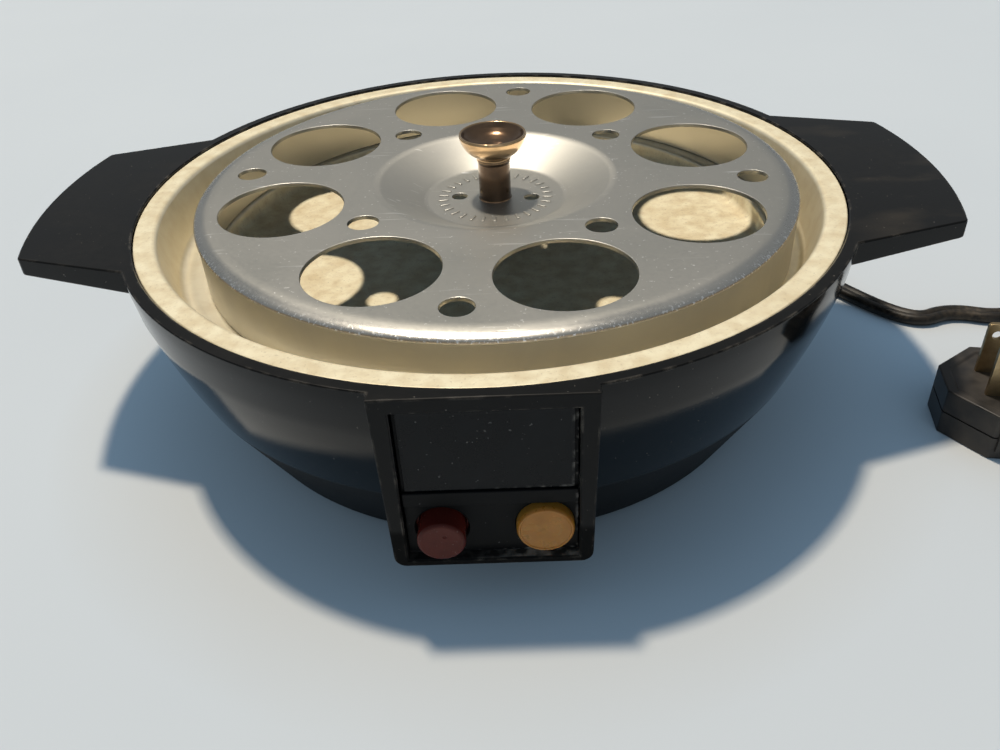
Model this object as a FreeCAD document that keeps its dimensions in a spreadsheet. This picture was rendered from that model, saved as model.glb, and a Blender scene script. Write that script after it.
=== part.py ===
import FreeCAD, Part
import math
import os
import re
import Sketcher

# An electric egg cooker: a moulded bowl with a heated water pan, a lift-out
# egg rack, a push-button switch, a pilot lamp and a mains cord.
# Millimetres, +Z up, the table at Z = 0, the control box towards -Y.
SIZES = [
    ("rim_height", 69.7, "top of the bowl above the table"),
    ("rim_land", 4.0, "rim outside the pan's flange"),
    ("rim_step", 1.3, "rim band proud of the wall"),
    ("rim_band", 3.4, "height of the rim band"),
    ("shoulder_drop", 11.7, "rim down to the start of the curved side"),
    ("side_curve", 240, "radius of the side's curve in section"),
    ("side_draft", 9.5, "draw-in of the side down to the crease"),
    ("crease_height", 28.3, "crease above the table"),
    ("foot_draft", 14.3, "draw-in of the side below the crease"),
    ("foot_lift", 2.0, "lower edge above the table"),
    ("bowl_wall", 3.2, "moulded wall thickness"),
    ("foot_lip", 2.7, "lower edge outside the cover"),
    ("seat_width", 4.3, "width of the seat under the pan's flange"),
    ("seat_depth", 3.1, "thickness of the seat under the pan's flange"),
    ("handle_corner_y", 39.3, "outer corner of a handle, along"),
    ("handle_slope", 0.311, "draw-in of a handle's edges"),
    ("handle_out", 27.4, "handles beyond the rim"),
    ("handle_corner_out", 22.6, "outer corners of a handle beyond the rim"),
    ("handle_sunk", 23.6, "handles inside the rim"),
    ("handle_tip", 5.3, "handle thickness at the outer edge"),
    ("handle_root", 7.6, "handle thickness inside the wall"),
    ("handle_round", 3.6, "rounding of a handle's outer corners"),
    ("box_half_top", 26.25, "half width of the control box at the top"),
    ("box_half_low", 25.0, "half width of the control box at the bottom"),
    ("box_drop", 53.0, "rim down to the bottom of the control box"),
    ("box_set", 0.2, "box front inside the rim's radius"),
    ("box_corner", 3.0, "rounding of the box's lower corners"),
    ("box_wall", 2.8, "wall of the control box"),
    ("window_half", 21.5, "half width of the panel opening"),
    ("window_drop", 4.3, "rim down to the opening"),
    ("window_tall", 46.6, "height of the opening"),
    ("panel_inset", 2.4, "box front back to the panel face"),
    ("panel_thick", 2.2, "panel thickness"),
    ("panel_seat", 3.0, "ledge behind the panel"),
    ("seat_wall", 2.5, "thickness of that ledge"),
    ("panel_gap", 0.15, "clearance round the panel"),
    ("rib_drop", 30.2, "rim down to the panel's rib"),
    ("rib_tall", 3.7, "height of the rib"),
    ("rib_proud", 1.2, "rib in front of the panel"),
    ("plate_margin", 0.9, "panel showing round the plate"),
    ("plate_thick", 0.5, "plate thickness"),
    ("button_x", -12.4, "button left of the middle"),
    ("button_drop", 42.1, "rim down to the button"),
    ("button_radius", 6.05, "button"),
    ("button_proud", 5.5, "button in front of the panel"),
    ("button_round", 1.1, "rounding of the button's edge"),
    ("button_dish", 0.3, "hollow of the button's face"),
    ("button_ring", 0.6, "gap round the button"),
    ("button_flange", 7.75, "flange that keeps the button in"),
    ("button_stop", 0.1, "flange behind the panel at rest"),
    ("flange_thick", 1.5, "flange thickness of the button"),
    ("button_travel", 3.0, "stroke of the button"),
    ("lens_x", 13.2, "lens right of the middle"),
    ("lens_drop", 41.7, "rim down to the lens"),
    ("lens_radius", 7.2, "lens"),
    ("lens_proud", 2.8, "lens in front of the panel"),
    ("lens_round", 0.9, "rounding of the lens edge"),
    ("lens_wall", 1.5, "lens wall"),
    ("lens_flange", 8.3, "flange of the lens"),
    ("lens_flange_thick", 1.2, "thickness of the lens flange"),
    ("close_fit", 0.05, "radial clearance of plain fits"),
    ("thread_fit", 0.03, "radial clearance of threads, modelled plain"),
    ("post_radius", 3.0, "posts behind the panel"),
    ("post_high_drop", 32.2, "rim down to the upper post"),
    ("post_low_drop", 44.4, "rim down to the lower post"),
    ("bracket_half", 21.9, "half width of the switch bracket"),
    ("bracket_thick", 1.2, "sheet of the bracket"),
    ("bracket_margin", 3.4, "bracket beyond the posts' axes"),
    ("bracket_hole", 8.1, "hole for the button's flange"),
    ("screw_radius", 1.25, "shank of the bracket screws"),
    ("screw_head", 2.7, "head of the bracket screws"),
    ("screw_head_thick", 1.6, "height of the screw heads"),
    ("screw_bite", 2.8, "screw length in a post"),
    ("holder_radius", 6.3, "lamp holder"),
    ("holder_long", 10.0, "lamp holder behind the lens"),
    ("lamp_radius", 2.9, "pilot lamp"),
    ("lamp_long", 7.6, "length of the lamp"),
    ("lamp_deep", 3.6, "lamp inside its holder"),
    ("switch_half", 8.2, "half width of the switch"),
    ("switch_tall", 15.0, "height of the switch"),
    ("switch_gap", 3.8, "switch behind the panel's ledge"),
    ("switch_long", 16.5, "depth of the switch"),
    ("switch_face", 2.5, "front wall of the switch"),
    ("chamber_radius", 3.7, "bore for the piston"),
    ("chamber_long", 12.0, "depth of that bore"),
    ("plunger_radius", 2.0, "plunger"),
    ("piston_radius", 3.4, "piston on the plunger"),
    ("piston_thick", 2.0, "piston thickness"),
    ("piston_rest", 1.5, "piston behind the front wall at rest"),
    ("spring_radius", 2.5, "mean radius of the return spring"),
    ("spring_wire", 0.5, "wire of the return spring"),
    ("spring_turns", 4, "turns of the return spring"),
    ("tab_thick", 0.8, "connector tabs"),
    ("tab_tall", 4.8, "width of the tabs"),
    ("tab_long", 6.0, "length of the switch tabs"),
    ("tab_side", 3.1, "switch tabs either side of its axis"),
    ("tab_low", 2.2, "switch tabs below its axis"),
    ("pan_drop", 0.6, "rim down to the pan's flange"),
    ("pan_sheet", 1.2, "pan sheet"),
    ("flange_gap", 0.3, "clearance round the flange"),
    ("flange_width", 6.5, "width of the pan's flange"),
    ("mouth_flare", 3.7, "draw-in from the mouth to the ledge"),
    ("ledge_width", 9.8, "width of the pan's ledge"),
    ("ledge_drop", 15.2, "flange down to the ledge"),
    ("well_radius", 89.6, "mouth of the water well"),
    ("well_draft", 1.2, "draw-in of the well"),
    ("well_deep", 5.4, "depth of the water well"),
    ("seal_thick", 0.8, "seal under the flange"),
    ("rack_tall", 18.6, "rack above the pan's ledge"),
    ("rack_sheet", 1.2, "rack sheet"),
    ("rack_overlap", 4.4, "rack beyond the water well"),
    ("rack_round", 2.6, "rounding of the rack's edge"),
    ("rack_turn", -6.44, "turn of the rack as it lies in the pan"),
    ("rack_shift", 2.3, "rack off the middle as it lies in the pan"),
    ("egg_margin", 26.5, "ring of egg holes inside the rack's edge"),
    ("steam_margin", 13.6, "outer steam holes inside the rack's edge"),
    ("steam_step", 18.4, "inner steam holes inside the ring of egg holes"),
    ("egg_hole", 19.0, "radius of an egg hole"),
    ("egg_count", 8, "number of egg holes"),
    ("steam_hole", 4.6, "radius of a steam hole"),
    ("dish_radius", 37.6, "mouth of the rack's dish"),
    ("dish_floor", 22.6, "floor of the dish"),
    ("dish_deep", 7.4, "depth of the dish"),
    ("drain_reach", 11.7, "drain holes from the middle"),
    ("drain_hole", 2.45, "radius of a drain hole"),
    ("knob_rise", 14.0, "knob above the rack"),
    ("knob_radius", 10.6, "head of the knob"),
    ("knob_edge", 1.5, "edge of the head"),
    ("knob_stem", 5.1, "stem of the knob"),
    ("knob_neck", 6.4, "small step under the flare"),
    ("knob_flare", 5.6, "head down to that step"),
    ("knob_step", 1.9, "height of the step's slope"),
    ("knob_dish", 1.2, "hollow of the knob's top"),
    ("knob_land", 1.0, "flat round the hollow"),
    ("knob_screw_radius", 1.8, "knob screw"),
    ("knob_screw_head", 3.6, "head of the knob screw"),
    ("knob_screw_thick", 2.0, "height of that head"),
    ("knob_screw_bite", 11.0, "screw length in the knob"),
    ("washer_radius", 6.0, "knob washer"),
    ("washer_thick", 0.8, "washer thickness"),
    ("element_ring", 58.0, "heating element"),
    ("element_radius", 3.5, "sheath of the element"),
    ("element_flat", 0.2, "flattening of the sheath"),
    ("element_open", 16.0, "opening of the element in degrees"),
    ("clamp_lip", 8.0, "clamp plate beyond the element"),
    ("shield_lip", 6.0, "heat shield beyond the element"),
    ("clamp_thick", 1.0, "clamp sheet"),
    ("clamp_ring", 42.0, "ring of clamp studs"),
    ("clamp_stud", 2.0, "radius of a clamp stud"),
    ("clamp_stud_more", 5.0, "stud below the clamp"),
    ("clamp_count", 3, "number of clamp studs"),
    ("nut_small", 4.04, "corner radius of the clamp nuts"),
    ("nut_small_thick", 3.2, "thickness of the clamp nuts"),
    ("stat_y", 32.0, "thermostat behind the middle"),
    ("stat_radius", 7.5, "thermostat"),
    ("stat_lower", 6.0, "lower part of the thermostat"),
    ("stat_hang", 1.8, "lower part below the clamp"),
    ("stat_tab_side", 4.0, "thermostat tabs either side"),
    ("stat_tab_long", 7.0, "length of the thermostat tabs"),
    ("stud_radius", 2.5, "centre stud"),
    ("stud_end", 0.6, "lower end of the stud"),
    ("hole_gap", 0.3, "clearance of through holes"),
    ("spacer_radius", 4.5, "spacer on the stud"),
    ("spacer_long", 10.6, "length of the spacer"),
    ("leg_out", 1.0, "legs of the element below the shield"),
    ("shield_sheet", 0.6, "shield sheet"),
    ("shield_leg_hole", 5.5, "holes for the element's legs"),
    ("shield_stat_hole", 9.0, "hole under the thermostat"),
    ("nut_large", 4.62, "corner radius of the stud nuts"),
    ("nut_large_thick", 4.0, "thickness of the shield nut"),
    ("cover_gap", 0.5, "clearance round the cover"),
    ("cover_sheet", 1.2, "cover sheet"),
    ("cover_ledge", 2.5, "ledge over the cover"),
    ("cover_overlap", 2.3, "overlap of cover and ledge"),
    ("cover_washer_radius", 9.0, "washer under the cover"),
    ("cover_washer_thick", 0.7, "thickness of that washer"),
    ("cover_nut_thick", 2.4, "thickness of the cover nut"),
    ("foot_count", 4, "number of feet"),
    ("foot_inset", 11.8, "feet inside the cover's edge"),
    ("foot_pad", 6.5, "radius of a foot"),
    ("foot_tall", 4.0, "height of a foot"),
    ("foot_stem", 2.0, "stem of a foot"),
    ("foot_barb", 2.7, "barb of a foot"),
    ("foot_barb_tall", 1.6, "height of the barb"),
    ("terminal_half", 13.0, "half width of the terminal block"),
    ("terminal_deep", 13.0, "depth of the terminal block"),
    ("core_long", 6.2, "cord cores from relief to block"),
    ("terminal_tall", 19.8, "height of the terminal block"),
    ("terminal_screw_x", 4.5, "block screws either side"),
    ("terminal_screw", 1.5, "block screw"),
    ("terminal_screw_head", 2.8, "head of a block screw"),
    ("terminal_screw_thick", 1.7, "height of that head"),
    ("terminal_screw_bite", 6.0, "screw length in the block"),
    ("wire_radius", 1.1, "inner wire"),
    ("wire_side", 8.0, "wires either side of the block"),
    ("wire_low", 12.0, "wires above the table"),
    ("wire_height", 14.0, "wires at the block above the table"),
    ("core_side", 2.2, "cord cores either side"),
    ("cord_height", 18.0, "cord exit above the table"),
    ("boss_radius", 9.0, "cord boss"),
    ("boss_proud", 0.7, "cord boss beyond the crease"),
    ("relief_neck", 5.6, "strain relief in the wall"),
    ("relief_base", 7.5, "strain relief at the boss"),
    ("relief_end", 4.0, "strain relief at its end"),
    ("relief_long", 25.0, "strain relief outside the boss"),
    ("relief_gap", 0.45, "inner flange clear of the sloping wall"),
    ("relief_flange", 8.0, "radius of that flange"),
    ("relief_flange_thick", 3.0, "thickness of that flange"),
    ("cord_radius", 3.0, "mains cord"),
    ("cord_rest", 3.05, "cord centre above the table"),
    ("coil_out", 133.4, "middle of the coil beyond the rim"),
    ("coil_y", -18.0, "middle of the coil"),
    ("coil_outer", 41.0, "outer turn of the coil"),
    ("coil_pitch", 8.0, "step from turn to turn"),
    ("coil_rest", 4.1, "lower turns above the table"),
    ("coil_layer", 6.6, "step from layer to layer"),
    ("tie_width", 8.0, "cord tie"),
    ("tie_thick", 0.8, "band of the tie"),
    ("tie_gap", 0.15, "tie round the turns"),
    ("tie_slack", 0.5, "tie inside the turns"),
    ("plug_y", -44.0, "middle of the plug"),
    ("plug_turn", -10.0, "turn of the plug"),
    ("plug_out", 44.4, "middle of the plug beyond the rim"),
    ("plug_long", 34.0, "length of the plug"),
    ("plug_wide", 38.0, "width of the plug"),
    ("plug_tall", 16.0, "height of the plug as it lies"),
    ("plug_corner", 12.0, "cut corners of the plug"),
    ("plug_axis", 7.5, "cord axis above the table at the plug"),
    ("plug_relief_base", 6.0, "relief at the plug"),
    ("plug_relief_end", 3.7, "relief at its end"),
    ("plug_relief_long", 22.0, "length of the plug's relief"),
    ("blade_side", 6.35, "blades either side of the middle"),
    ("blade_back", -3.0, "blades off the middle of the plug"),
    ("blade_wide", 6.3, "blade width"),
    ("blade_thick", 1.5, "blade thickness"),
    ("blade_long", 17.0, "blade length"),
]

DERIVED = {
    "ledge_radius": "well_radius + ledge_width",
    "pan_mouth": "ledge_radius + mouth_flare",
    "flange_radius": "pan_mouth + flange_width",
    "rim_radius": "flange_radius + rim_land",
    "wall_radius": "rim_radius - rim_step",
    "crease_radius": "wall_radius - side_draft",
    "foot_radius": "crease_radius - foot_draft",
    "side_slope": "foot_draft / (crease_height - foot_lift)",
    "cover_radius": "foot_radius - foot_lip",
    "foot_ring": "cover_radius - foot_inset",
    "rack_radius": "well_radius + rack_overlap",
    "handle_reach": "rim_radius + handle_out",
    "handle_corner_x": "rim_radius + handle_corner_out",
    "handle_inner": "rim_radius - handle_sunk",
    "box_front": "rim_radius - box_set",
    "box_root": "foot_radius - 5 * bowl_wall",
    "switch_front": "box_front - panel_inset - panel_thick - seat_wall - switch_gap",
    "egg_ring": "rack_radius - egg_margin",
    "steam_outer": "rack_radius - steam_margin",
    "steam_inner": "egg_ring - steam_step",
    "pan_under": "rim_height - pan_drop - ledge_drop - well_deep - pan_sheet",
    "clamp_under": "pan_under + 2 * element_flat - 2 * element_radius - clamp_thick",
    "shield_height": "clamp_under - spacer_long - shield_sheet",
    "leg_end": "shield_height - leg_out",
    "clamp_radius": "element_ring + clamp_lip",
    "shield_radius": "element_ring + shield_lip",
    "boss_face": "crease_radius + boss_proud",
    "relief_wall": "foot_radius + (cord_height - relief_flange - foot_lift) * side_slope - bowl_wall",
    "relief_inner": "relief_wall - relief_gap",
    "terminal_back": "relief_inner - relief_flange_thick - core_long",
    "terminal_front": "terminal_back - terminal_deep",
    "coil_x": "rim_radius + coil_out",
    "plug_x": "rim_radius + plug_out",
}
NAMES = {name for name, number, meaning in SIZES}
V = FreeCAD.Vector

doc = FreeCAD.newDocument("egg_cooker")
sheet = doc.addObject("Spreadsheet::Sheet", "Sizes")
for row, (name, number, meaning) in enumerate(SIZES, start=1):
    sheet.set(f"A{row}", meaning)
    sheet.set(f"B{row}", str(number))
    sheet.setAlias(f"B{row}", name)
doc.recompute()


def spelled(formula):
    """A formula in the sheet's own names only."""
    text = str(formula)
    while any(word in DERIVED for word in re.findall(r"[a-z_]+", text)):
        text = re.sub(
            r"[a-z_]+", lambda w: f"({DERIVED[w.group()]})" if w.group() in DERIVED else w.group(), text)
    return text


def value(formula):
    return float(sheet.evalExpression(spelled(formula)))


def bound(formula):
    def link(found):
        word = found.group()
        return "Sizes." + word if word in NAMES else word
    return re.sub(r"[a-z_]+", link, spelled(formula))


def outline(body, role, corners, offset="0"):
    plane = next(p for p in body.Origin.OriginFeatures if p.Role == role)
    sketch = body.newObject("Sketcher::SketchObject", body.Name + "_outline")
    sketch.AttachmentSupport = [(plane, "")]
    sketch.MapMode = "FlatFace"
    sketch.setExpression("AttachmentOffset.Base.z", bound(offset))
    points = [V(value(c[0]), value(c[1]), 0) for c in corners]
    ends = []
    for index, corner in enumerate(corners):
        start = points[index]
        finish = points[(index + 1) % len(points)]
        if len(corner) == 2:
            sketch.addGeometry(Part.LineSegment(start, finish))
            ends.append((1, 2))
            continue
        radius = value(corner[2])
        chord = finish - start
        sagitta = abs(radius) - math.sqrt(radius * radius - chord.Length ** 2 / 4)
        side = V(chord.y, -chord.x, 0).normalize() * math.copysign(sagitta, radius)
        middle = (start + finish) * 0.5 + side
        sketch.addGeometry(Part.Arc(start, middle, finish))
        ends.append((1, 2) if radius > 0 else (2, 1))
    count = len(corners)
    for index in range(count):
        after = (index + 1) % count
        sketch.addConstraint(Sketcher.Constraint(
            "Coincident", index, ends[index][1], after, ends[after][0]))
    for index, corner in enumerate(corners):
        for kind, axis, formula in (("DistanceX", -2, corner[0]), ("DistanceY", -1, corner[1])):
            if formula == "0":
                sketch.addConstraint(Sketcher.Constraint(
                    "PointOnObject", index, ends[index][0], axis))
                continue
            number = sketch.addConstraint(Sketcher.Constraint(
                kind, -1, 1, index, ends[index][0], value(formula)))
            sketch.setExpression(f"Constraints[{number}]", bound(formula))
        if len(corner) == 3:
            number = sketch.addConstraint(Sketcher.Constraint(
                "Radius", index, abs(value(corner[2]))))
            sketch.setExpression(f"Constraints[{number}]", bound(f"abs({corner[2]})"))
    return sketch


def place(item, x="0", y="0", z="0"):
    for axis, formula in (("x", x), ("y", y), ("z", z)):
        item.setExpression("Placement.Base." + axis, bound(formula))
    return item


def turned(name, corners, x="0", y="0", z="0"):
    """A body turned about +Z; the corners are radius and height."""
    body = doc.addObject("PartDesign::Body", name)
    sketch = outline(body, "XZ_Plane", corners)
    turn = body.newObject("PartDesign::Revolution", name + "_turn")
    turn.Profile = sketch
    turn.ReferenceAxis = (sketch, ["V_Axis"])
    turn.Angle = 360
    body.Tip = turn
    return place(body, x, y, z)


def turned_along(name, corners, x="0", z="0"):
    """A body turned about +Y; the corners are place along Y and radius."""
    body = doc.addObject("PartDesign::Body", name)
    sketch = outline(body, "YZ_Plane", corners)
    turn = body.newObject("PartDesign::Revolution", name + "_turn")
    turn.Profile = sketch
    turn.ReferenceAxis = (sketch, ["H_Axis"])
    turn.Angle = 360
    body.Tip = turn
    return place(body, x, "0", z)


def slab(name, role, corners, low, high):
    body = doc.addObject("PartDesign::Body", name)
    sketch = outline(body, role, corners, low)
    pad = body.newObject("PartDesign::Pad", name + "_pad")
    pad.Profile = sketch
    pad.setExpression("Length", bound(f"({high}) - ({low})"))
    body.Tip = pad
    return body


def block(name, x, y, z):
    item = doc.addObject("Part::Box", name)
    for side, (low, high) in (("Length", x), ("Width", y), ("Height", z)):
        item.setExpression(side, bound(f"({high}) - ({low})"))
    return place(item, x[0], y[0], z[0])


def rod(name, radius, low, high, x="0", y="0"):
    item = doc.addObject("Part::Cylinder", name)
    item.setExpression("Radius", bound(radius))
    item.setExpression("Height", bound(f"({high}) - ({low})"))
    return place(item, x, y, low)


def rod_along(name, radius, low, high, x="0", z="0"):
    item = doc.addObject("Part::Cylinder", name)
    item.Placement = FreeCAD.Placement(V(), FreeCAD.Rotation(V(1, 0, 0), -90))
    item.setExpression("Radius", bound(radius))
    item.setExpression("Height", bound(f"({high}) - ({low})"))
    return place(item, x, low, z)


def hexagon(name, radius, low, high, x="0", y="0"):
    item = doc.addObject("Part::Prism", name)
    item.Polygon = 6
    item.setExpression("Circumradius", bound(radius))
    item.setExpression("Height", bound(f"({high}) - ({low})"))
    return place(item, x, y, low)


def join(name, pieces):
    item = doc.addObject("Part::MultiFuse", name)
    item.Shapes = pieces
    return item


def cut(name, base, tools):
    item = doc.addObject("Part::Cut", name)
    item.Base = base
    item.Tool = tools[0] if len(tools) == 1 else join(name + "_tools", tools)
    return item


def common(name, one, other):
    item = doc.addObject("Part::Common", name)
    item.Base = one
    item.Tool = other
    return item


def together(name, pieces):
    item = doc.addObject("Part::Compound", name)
    item.Links = pieces
    return item


def solid(name, shape):
    item = doc.addObject("Part::Feature", name)
    item.Shape = shape
    return item


def around(count, ring, first=0.0):
    """Places on a ring, as formulas for X and Y."""
    step = 360 / value(count)
    spots = []
    for index in range(round(value(count))):
        turn = math.radians(first + step * index)
        spots.append((f"{ring} * {math.cos(turn):.6f}", f"{ring} * {math.sin(turn):.6f}"))
    return spots


SHOULDER = "(rim_height - shoulder_drop)"
FLANGE = "(rim_height - pan_drop)"
SEAT = f"({FLANGE} - pan_sheet - seal_thick)"
LEDGE = f"({FLANGE} - ledge_drop)"
FLOOR = f"({LEDGE} - well_deep)"
UNDER = f"({FLOOR} - pan_sheet)"
COVER = "(foot_tall + cover_sheet)"
INSIDE = f"({COVER} + cover_ledge)"
FACE = "(box_front - panel_inset)"
BACK = f"({FACE} - panel_thick)"
BEHIND = f"({BACK} - seat_wall)"
WINDOW_TOP = "(rim_height - window_drop)"
WINDOW_LOW = f"({WINDOW_TOP} - window_tall)"
BOX_LOW = "(rim_height - box_drop)"
BUTTON_Z = "(rim_height - button_drop)"
LENS_Z = "(rim_height - lens_drop)"
POSTS = ("(rim_height - post_high_drop)", "(rim_height - post_low_drop)")


def handle(name, side):
    """One wing handle; side is 1 on the right and -1 on the left."""
    edge = "(handle_corner_y + (handle_corner_x - handle_inner) * handle_slope)"
    plan = slab(name + "_plan", "XY_Plane", [
        ("handle_inner", f"-{edge}"),
        ("handle_corner_x", "-handle_corner_y", "handle_reach"),
        ("handle_corner_x", "handle_corner_y"),
        ("handle_inner", edge),
    ], "rim_height - handle_root - 2", "rim_height")
    doc.recompute()
    corners = []
    for number, one in enumerate(plan.Shape.Edges, start=1):
        middle = one.CenterOfMass
        outer = abs(middle.x - value("handle_corner_x")) < 0.01
        if outer and abs(abs(middle.y) - value("handle_corner_y")) < 0.01:
            corners.append(f"Edge{number}")
    pad = plan.Tip
    rounding = plan.newObject("PartDesign::Fillet", name + "_rounding")
    rounding.Base = (pad, corners)
    rounding.setExpression("Radius", bound("handle_round"))
    plan.Tip = rounding
    section = slab(name + "_section", "XZ_Plane", [
        ("handle_inner", "rim_height - handle_root"),
        ("handle_reach + 1", "rim_height - handle_tip"),
        ("handle_reach + 1", "rim_height"),
        ("handle_inner", "rim_height"),
    ], "-handle_corner_y * 2", "handle_corner_y * 2")
    wing = common(name, plan, section)
    if side < 0:
        wing.Placement = FreeCAD.Placement(V(), FreeCAD.Rotation(V(0, 0, 1), 180))
    return wing


bowl_outer = turned("bowl_outer", [
    ("0", "foot_lift"),
    ("foot_radius", "foot_lift"),
    ("crease_radius", "crease_height", "side_curve"),
    ("wall_radius", SHOULDER),
    ("wall_radius", "rim_height - rim_band"),
    ("rim_radius", "rim_height - rim_band"),
    ("rim_radius", "rim_height"),
    ("0", "rim_height"),
])
control_box = slab("control_box", "XZ_Plane", [
    ("-box_half_top", "rim_height"),
    ("-box_half_low", f"{BOX_LOW} + box_corner", "box_corner"),
    ("-box_half_low + box_corner", BOX_LOW),
    ("box_half_low - box_corner", BOX_LOW, "box_corner"),
    ("box_half_low", f"{BOX_LOW} + box_corner"),
    ("box_half_top", "rim_height"),
], "box_root", "box_front")
cord_boss = rod_along("cord_boss", "boss_radius", "box_root", "boss_face", "0", "cord_height")
bowl_solid = join("bowl_solid", [
    bowl_outer, control_box, cord_boss, handle("right_handle", 1), handle("left_handle", -1)])
bowl_hollow = turned("bowl_hollow", [
    ("0", "0"),
    ("cover_radius + cover_gap", "0"),
    ("cover_radius + cover_gap", COVER),
    ("cover_radius - cover_overlap", COVER),
    ("cover_radius - cover_overlap", INSIDE),
    (f"foot_radius + ({INSIDE} - foot_lift) * side_slope - bowl_wall", INSIDE),
    ("crease_radius - bowl_wall", "crease_height", "side_curve"),
    ("wall_radius - bowl_wall", SHOULDER),
    ("wall_radius - bowl_wall", f"{SEAT} - seat_depth"),
    ("flange_radius - seat_width", f"{SEAT} - seat_depth"),
    ("flange_radius - seat_width", SEAT),
    ("flange_radius + flange_gap", SEAT),
    ("flange_radius + flange_gap", "rim_height + 1"),
    ("0", "rim_height + 1"),
])
box_hollow = block(
    "box_hollow", ("-box_half_low + box_wall", "box_half_low - box_wall"),
    (f"-{BEHIND}", "-box_root + 5"), (f"{BOX_LOW} + box_wall", f"{SEAT} - seat_depth"))
panel_recess = block(
    "panel_recess", ("-window_half", "window_half"),
    ("-box_front - 1", f"-{BACK}"), (WINDOW_LOW, WINDOW_TOP))
cord_hole = rod_along(
    "cord_hole", "relief_neck + close_fit", "box_root", "boss_face + 1", "0", "cord_height")
bowl_shell = cut("bowl_shell", bowl_solid, [bowl_hollow, box_hollow, panel_recess, cord_hole])
panel_ledge = block(
    "panel_ledge", ("-window_half - 1", "window_half + 1"),
    (f"-{BACK}", f"-{BEHIND}"), (f"{WINDOW_LOW} - 1", f"{WINDOW_TOP} + 0.5"))
base_bowl = cut("base_bowl", join("bowl_with_ledge", [bowl_shell, panel_ledge]), [
    block("ledge_window", ("-window_half + panel_seat", "window_half - panel_seat"),
          (f"-{BACK} - 1", f"-{BEHIND} + 1"),
          (f"{WINDOW_LOW} + panel_seat", f"{WINDOW_TOP} - panel_seat")),
    rod_along("ledge_button_room", "button_flange + hole_gap", f"-{BACK}", f"-{BEHIND} + 1",
              "button_x", BUTTON_Z),
    rod_along("ledge_lens_room", "lens_flange + hole_gap", f"-{BACK}", f"-{BEHIND} + 1",
              "lens_x", LENS_Z)])

water_pan = turned("water_pan", [
    ("0", UNDER),
    ("well_radius - well_draft + pan_sheet", UNDER),
    ("well_radius + pan_sheet", f"{LEDGE} - pan_sheet"),
    ("ledge_radius + pan_sheet", f"{LEDGE} - pan_sheet"),
    ("pan_mouth + pan_sheet", f"{FLANGE} - pan_sheet"),
    ("flange_radius", f"{FLANGE} - pan_sheet"),
    ("flange_radius", FLANGE),
    ("pan_mouth", FLANGE),
    ("ledge_radius", LEDGE),
    ("well_radius", LEDGE),
    ("well_radius - well_draft", FLOOR),
    ("0", FLOOR),
])
rim_seal = turned("rim_seal", [
    ("flange_radius - seat_width + flange_gap", SEAT),
    ("flange_radius - flange_gap", SEAT),
    ("flange_radius - flange_gap", f"{SEAT} + seal_thick"),
    ("flange_radius - seat_width + flange_gap", f"{SEAT} + seal_thick"),
])

RACK = f"({LEDGE} + rack_tall)"
DISH = f"({RACK} - dish_deep)"
egg_rack = turned("egg_rack", [
    ("0", f"{DISH} - rack_sheet"),
    ("dish_floor + rack_sheet / 2", f"{DISH} - rack_sheet"),
    ("dish_radius + rack_sheet / 2", f"{RACK} - rack_sheet"),
    ("rack_radius - rack_round", f"{RACK} - rack_sheet", "-(rack_round - rack_sheet)"),
    ("rack_radius - rack_sheet", f"{RACK} - rack_round"),
    ("rack_radius - rack_sheet", LEDGE),
    ("rack_radius", LEDGE),
    ("rack_radius", f"{RACK} - rack_round", "rack_round"),
    ("rack_radius - rack_round", RACK),
    ("dish_radius", RACK),
    ("dish_floor", DISH),
    ("0", DISH),
])


def punched(body, name, ring, angle, radius, count):
    """Round holes through the rack, evenly spaced on a ring."""
    plane = next(p for p in body.Origin.OriginFeatures if p.Role == "XY_Plane")
    sketch = body.newObject("Sketcher::SketchObject", name + "_circle")
    sketch.AttachmentSupport = [(plane, "")]
    sketch.MapMode = "FlatFace"
    across = f"{ring} * {math.cos(math.radians(angle)):.6f}"
    along = f"{ring} * {math.sin(math.radians(angle)):.6f}"
    sketch.addGeometry(Part.Circle(V(value(across), value(along), 0), V(0, 0, 1), value(radius)))
    for kind, formula in (("DistanceX", across), ("DistanceY", along)):
        if abs(value(formula)) < 1e-4:
            sketch.addConstraint(Sketcher.Constraint(
                "PointOnObject", 0, 3, -2 if kind == "DistanceX" else -1))
            continue
        number = sketch.addConstraint(Sketcher.Constraint(kind, -1, 1, 0, 3, value(formula)))
        sketch.setExpression(f"Constraints[{number}]", bound(formula))
    number = sketch.addConstraint(Sketcher.Constraint("Radius", 0, value(radius)))
    sketch.setExpression(f"Constraints[{number}]", bound(radius))
    pocket = body.newObject("PartDesign::Pocket", name + "_hole")
    pocket.Profile = sketch
    pocket.Type = "ThroughAll"
    pocket.Reversed = True
    body.Tip = pocket
    pattern = body.newObject("PartDesign::PolarPattern", name + "_pattern")
    pattern.Originals = [pocket]
    axis = next(a for a in body.Origin.OriginFeatures if a.Role == "Z_Axis")
    pattern.Axis = (axis, [""])
    pattern.Angle = 360
    pattern.setExpression("Occurrences", bound(count))
    body.Tip = pattern


EGG_STEP = 360 / value("egg_count")
doc.recompute()
before_holes = egg_rack.Shape.Volume
punched(egg_rack, "egg", "egg_ring", -90 + EGG_STEP / 2, "egg_hole", "egg_count")
punched(egg_rack, "steam_in", "steam_inner", -90 + EGG_STEP, "steam_hole", "egg_count / 2")
punched(egg_rack, "steam_out", "steam_outer", -90 + 2 * EGG_STEP, "steam_hole", "egg_count / 2")
punched(egg_rack, "drain", "drain_reach", 0, "drain_hole", "2")
egg_rack.Placement = FreeCAD.Placement(V(), FreeCAD.Rotation(V(0, 0, 1), value("rack_turn")))
place(egg_rack, "rack_shift")

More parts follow.
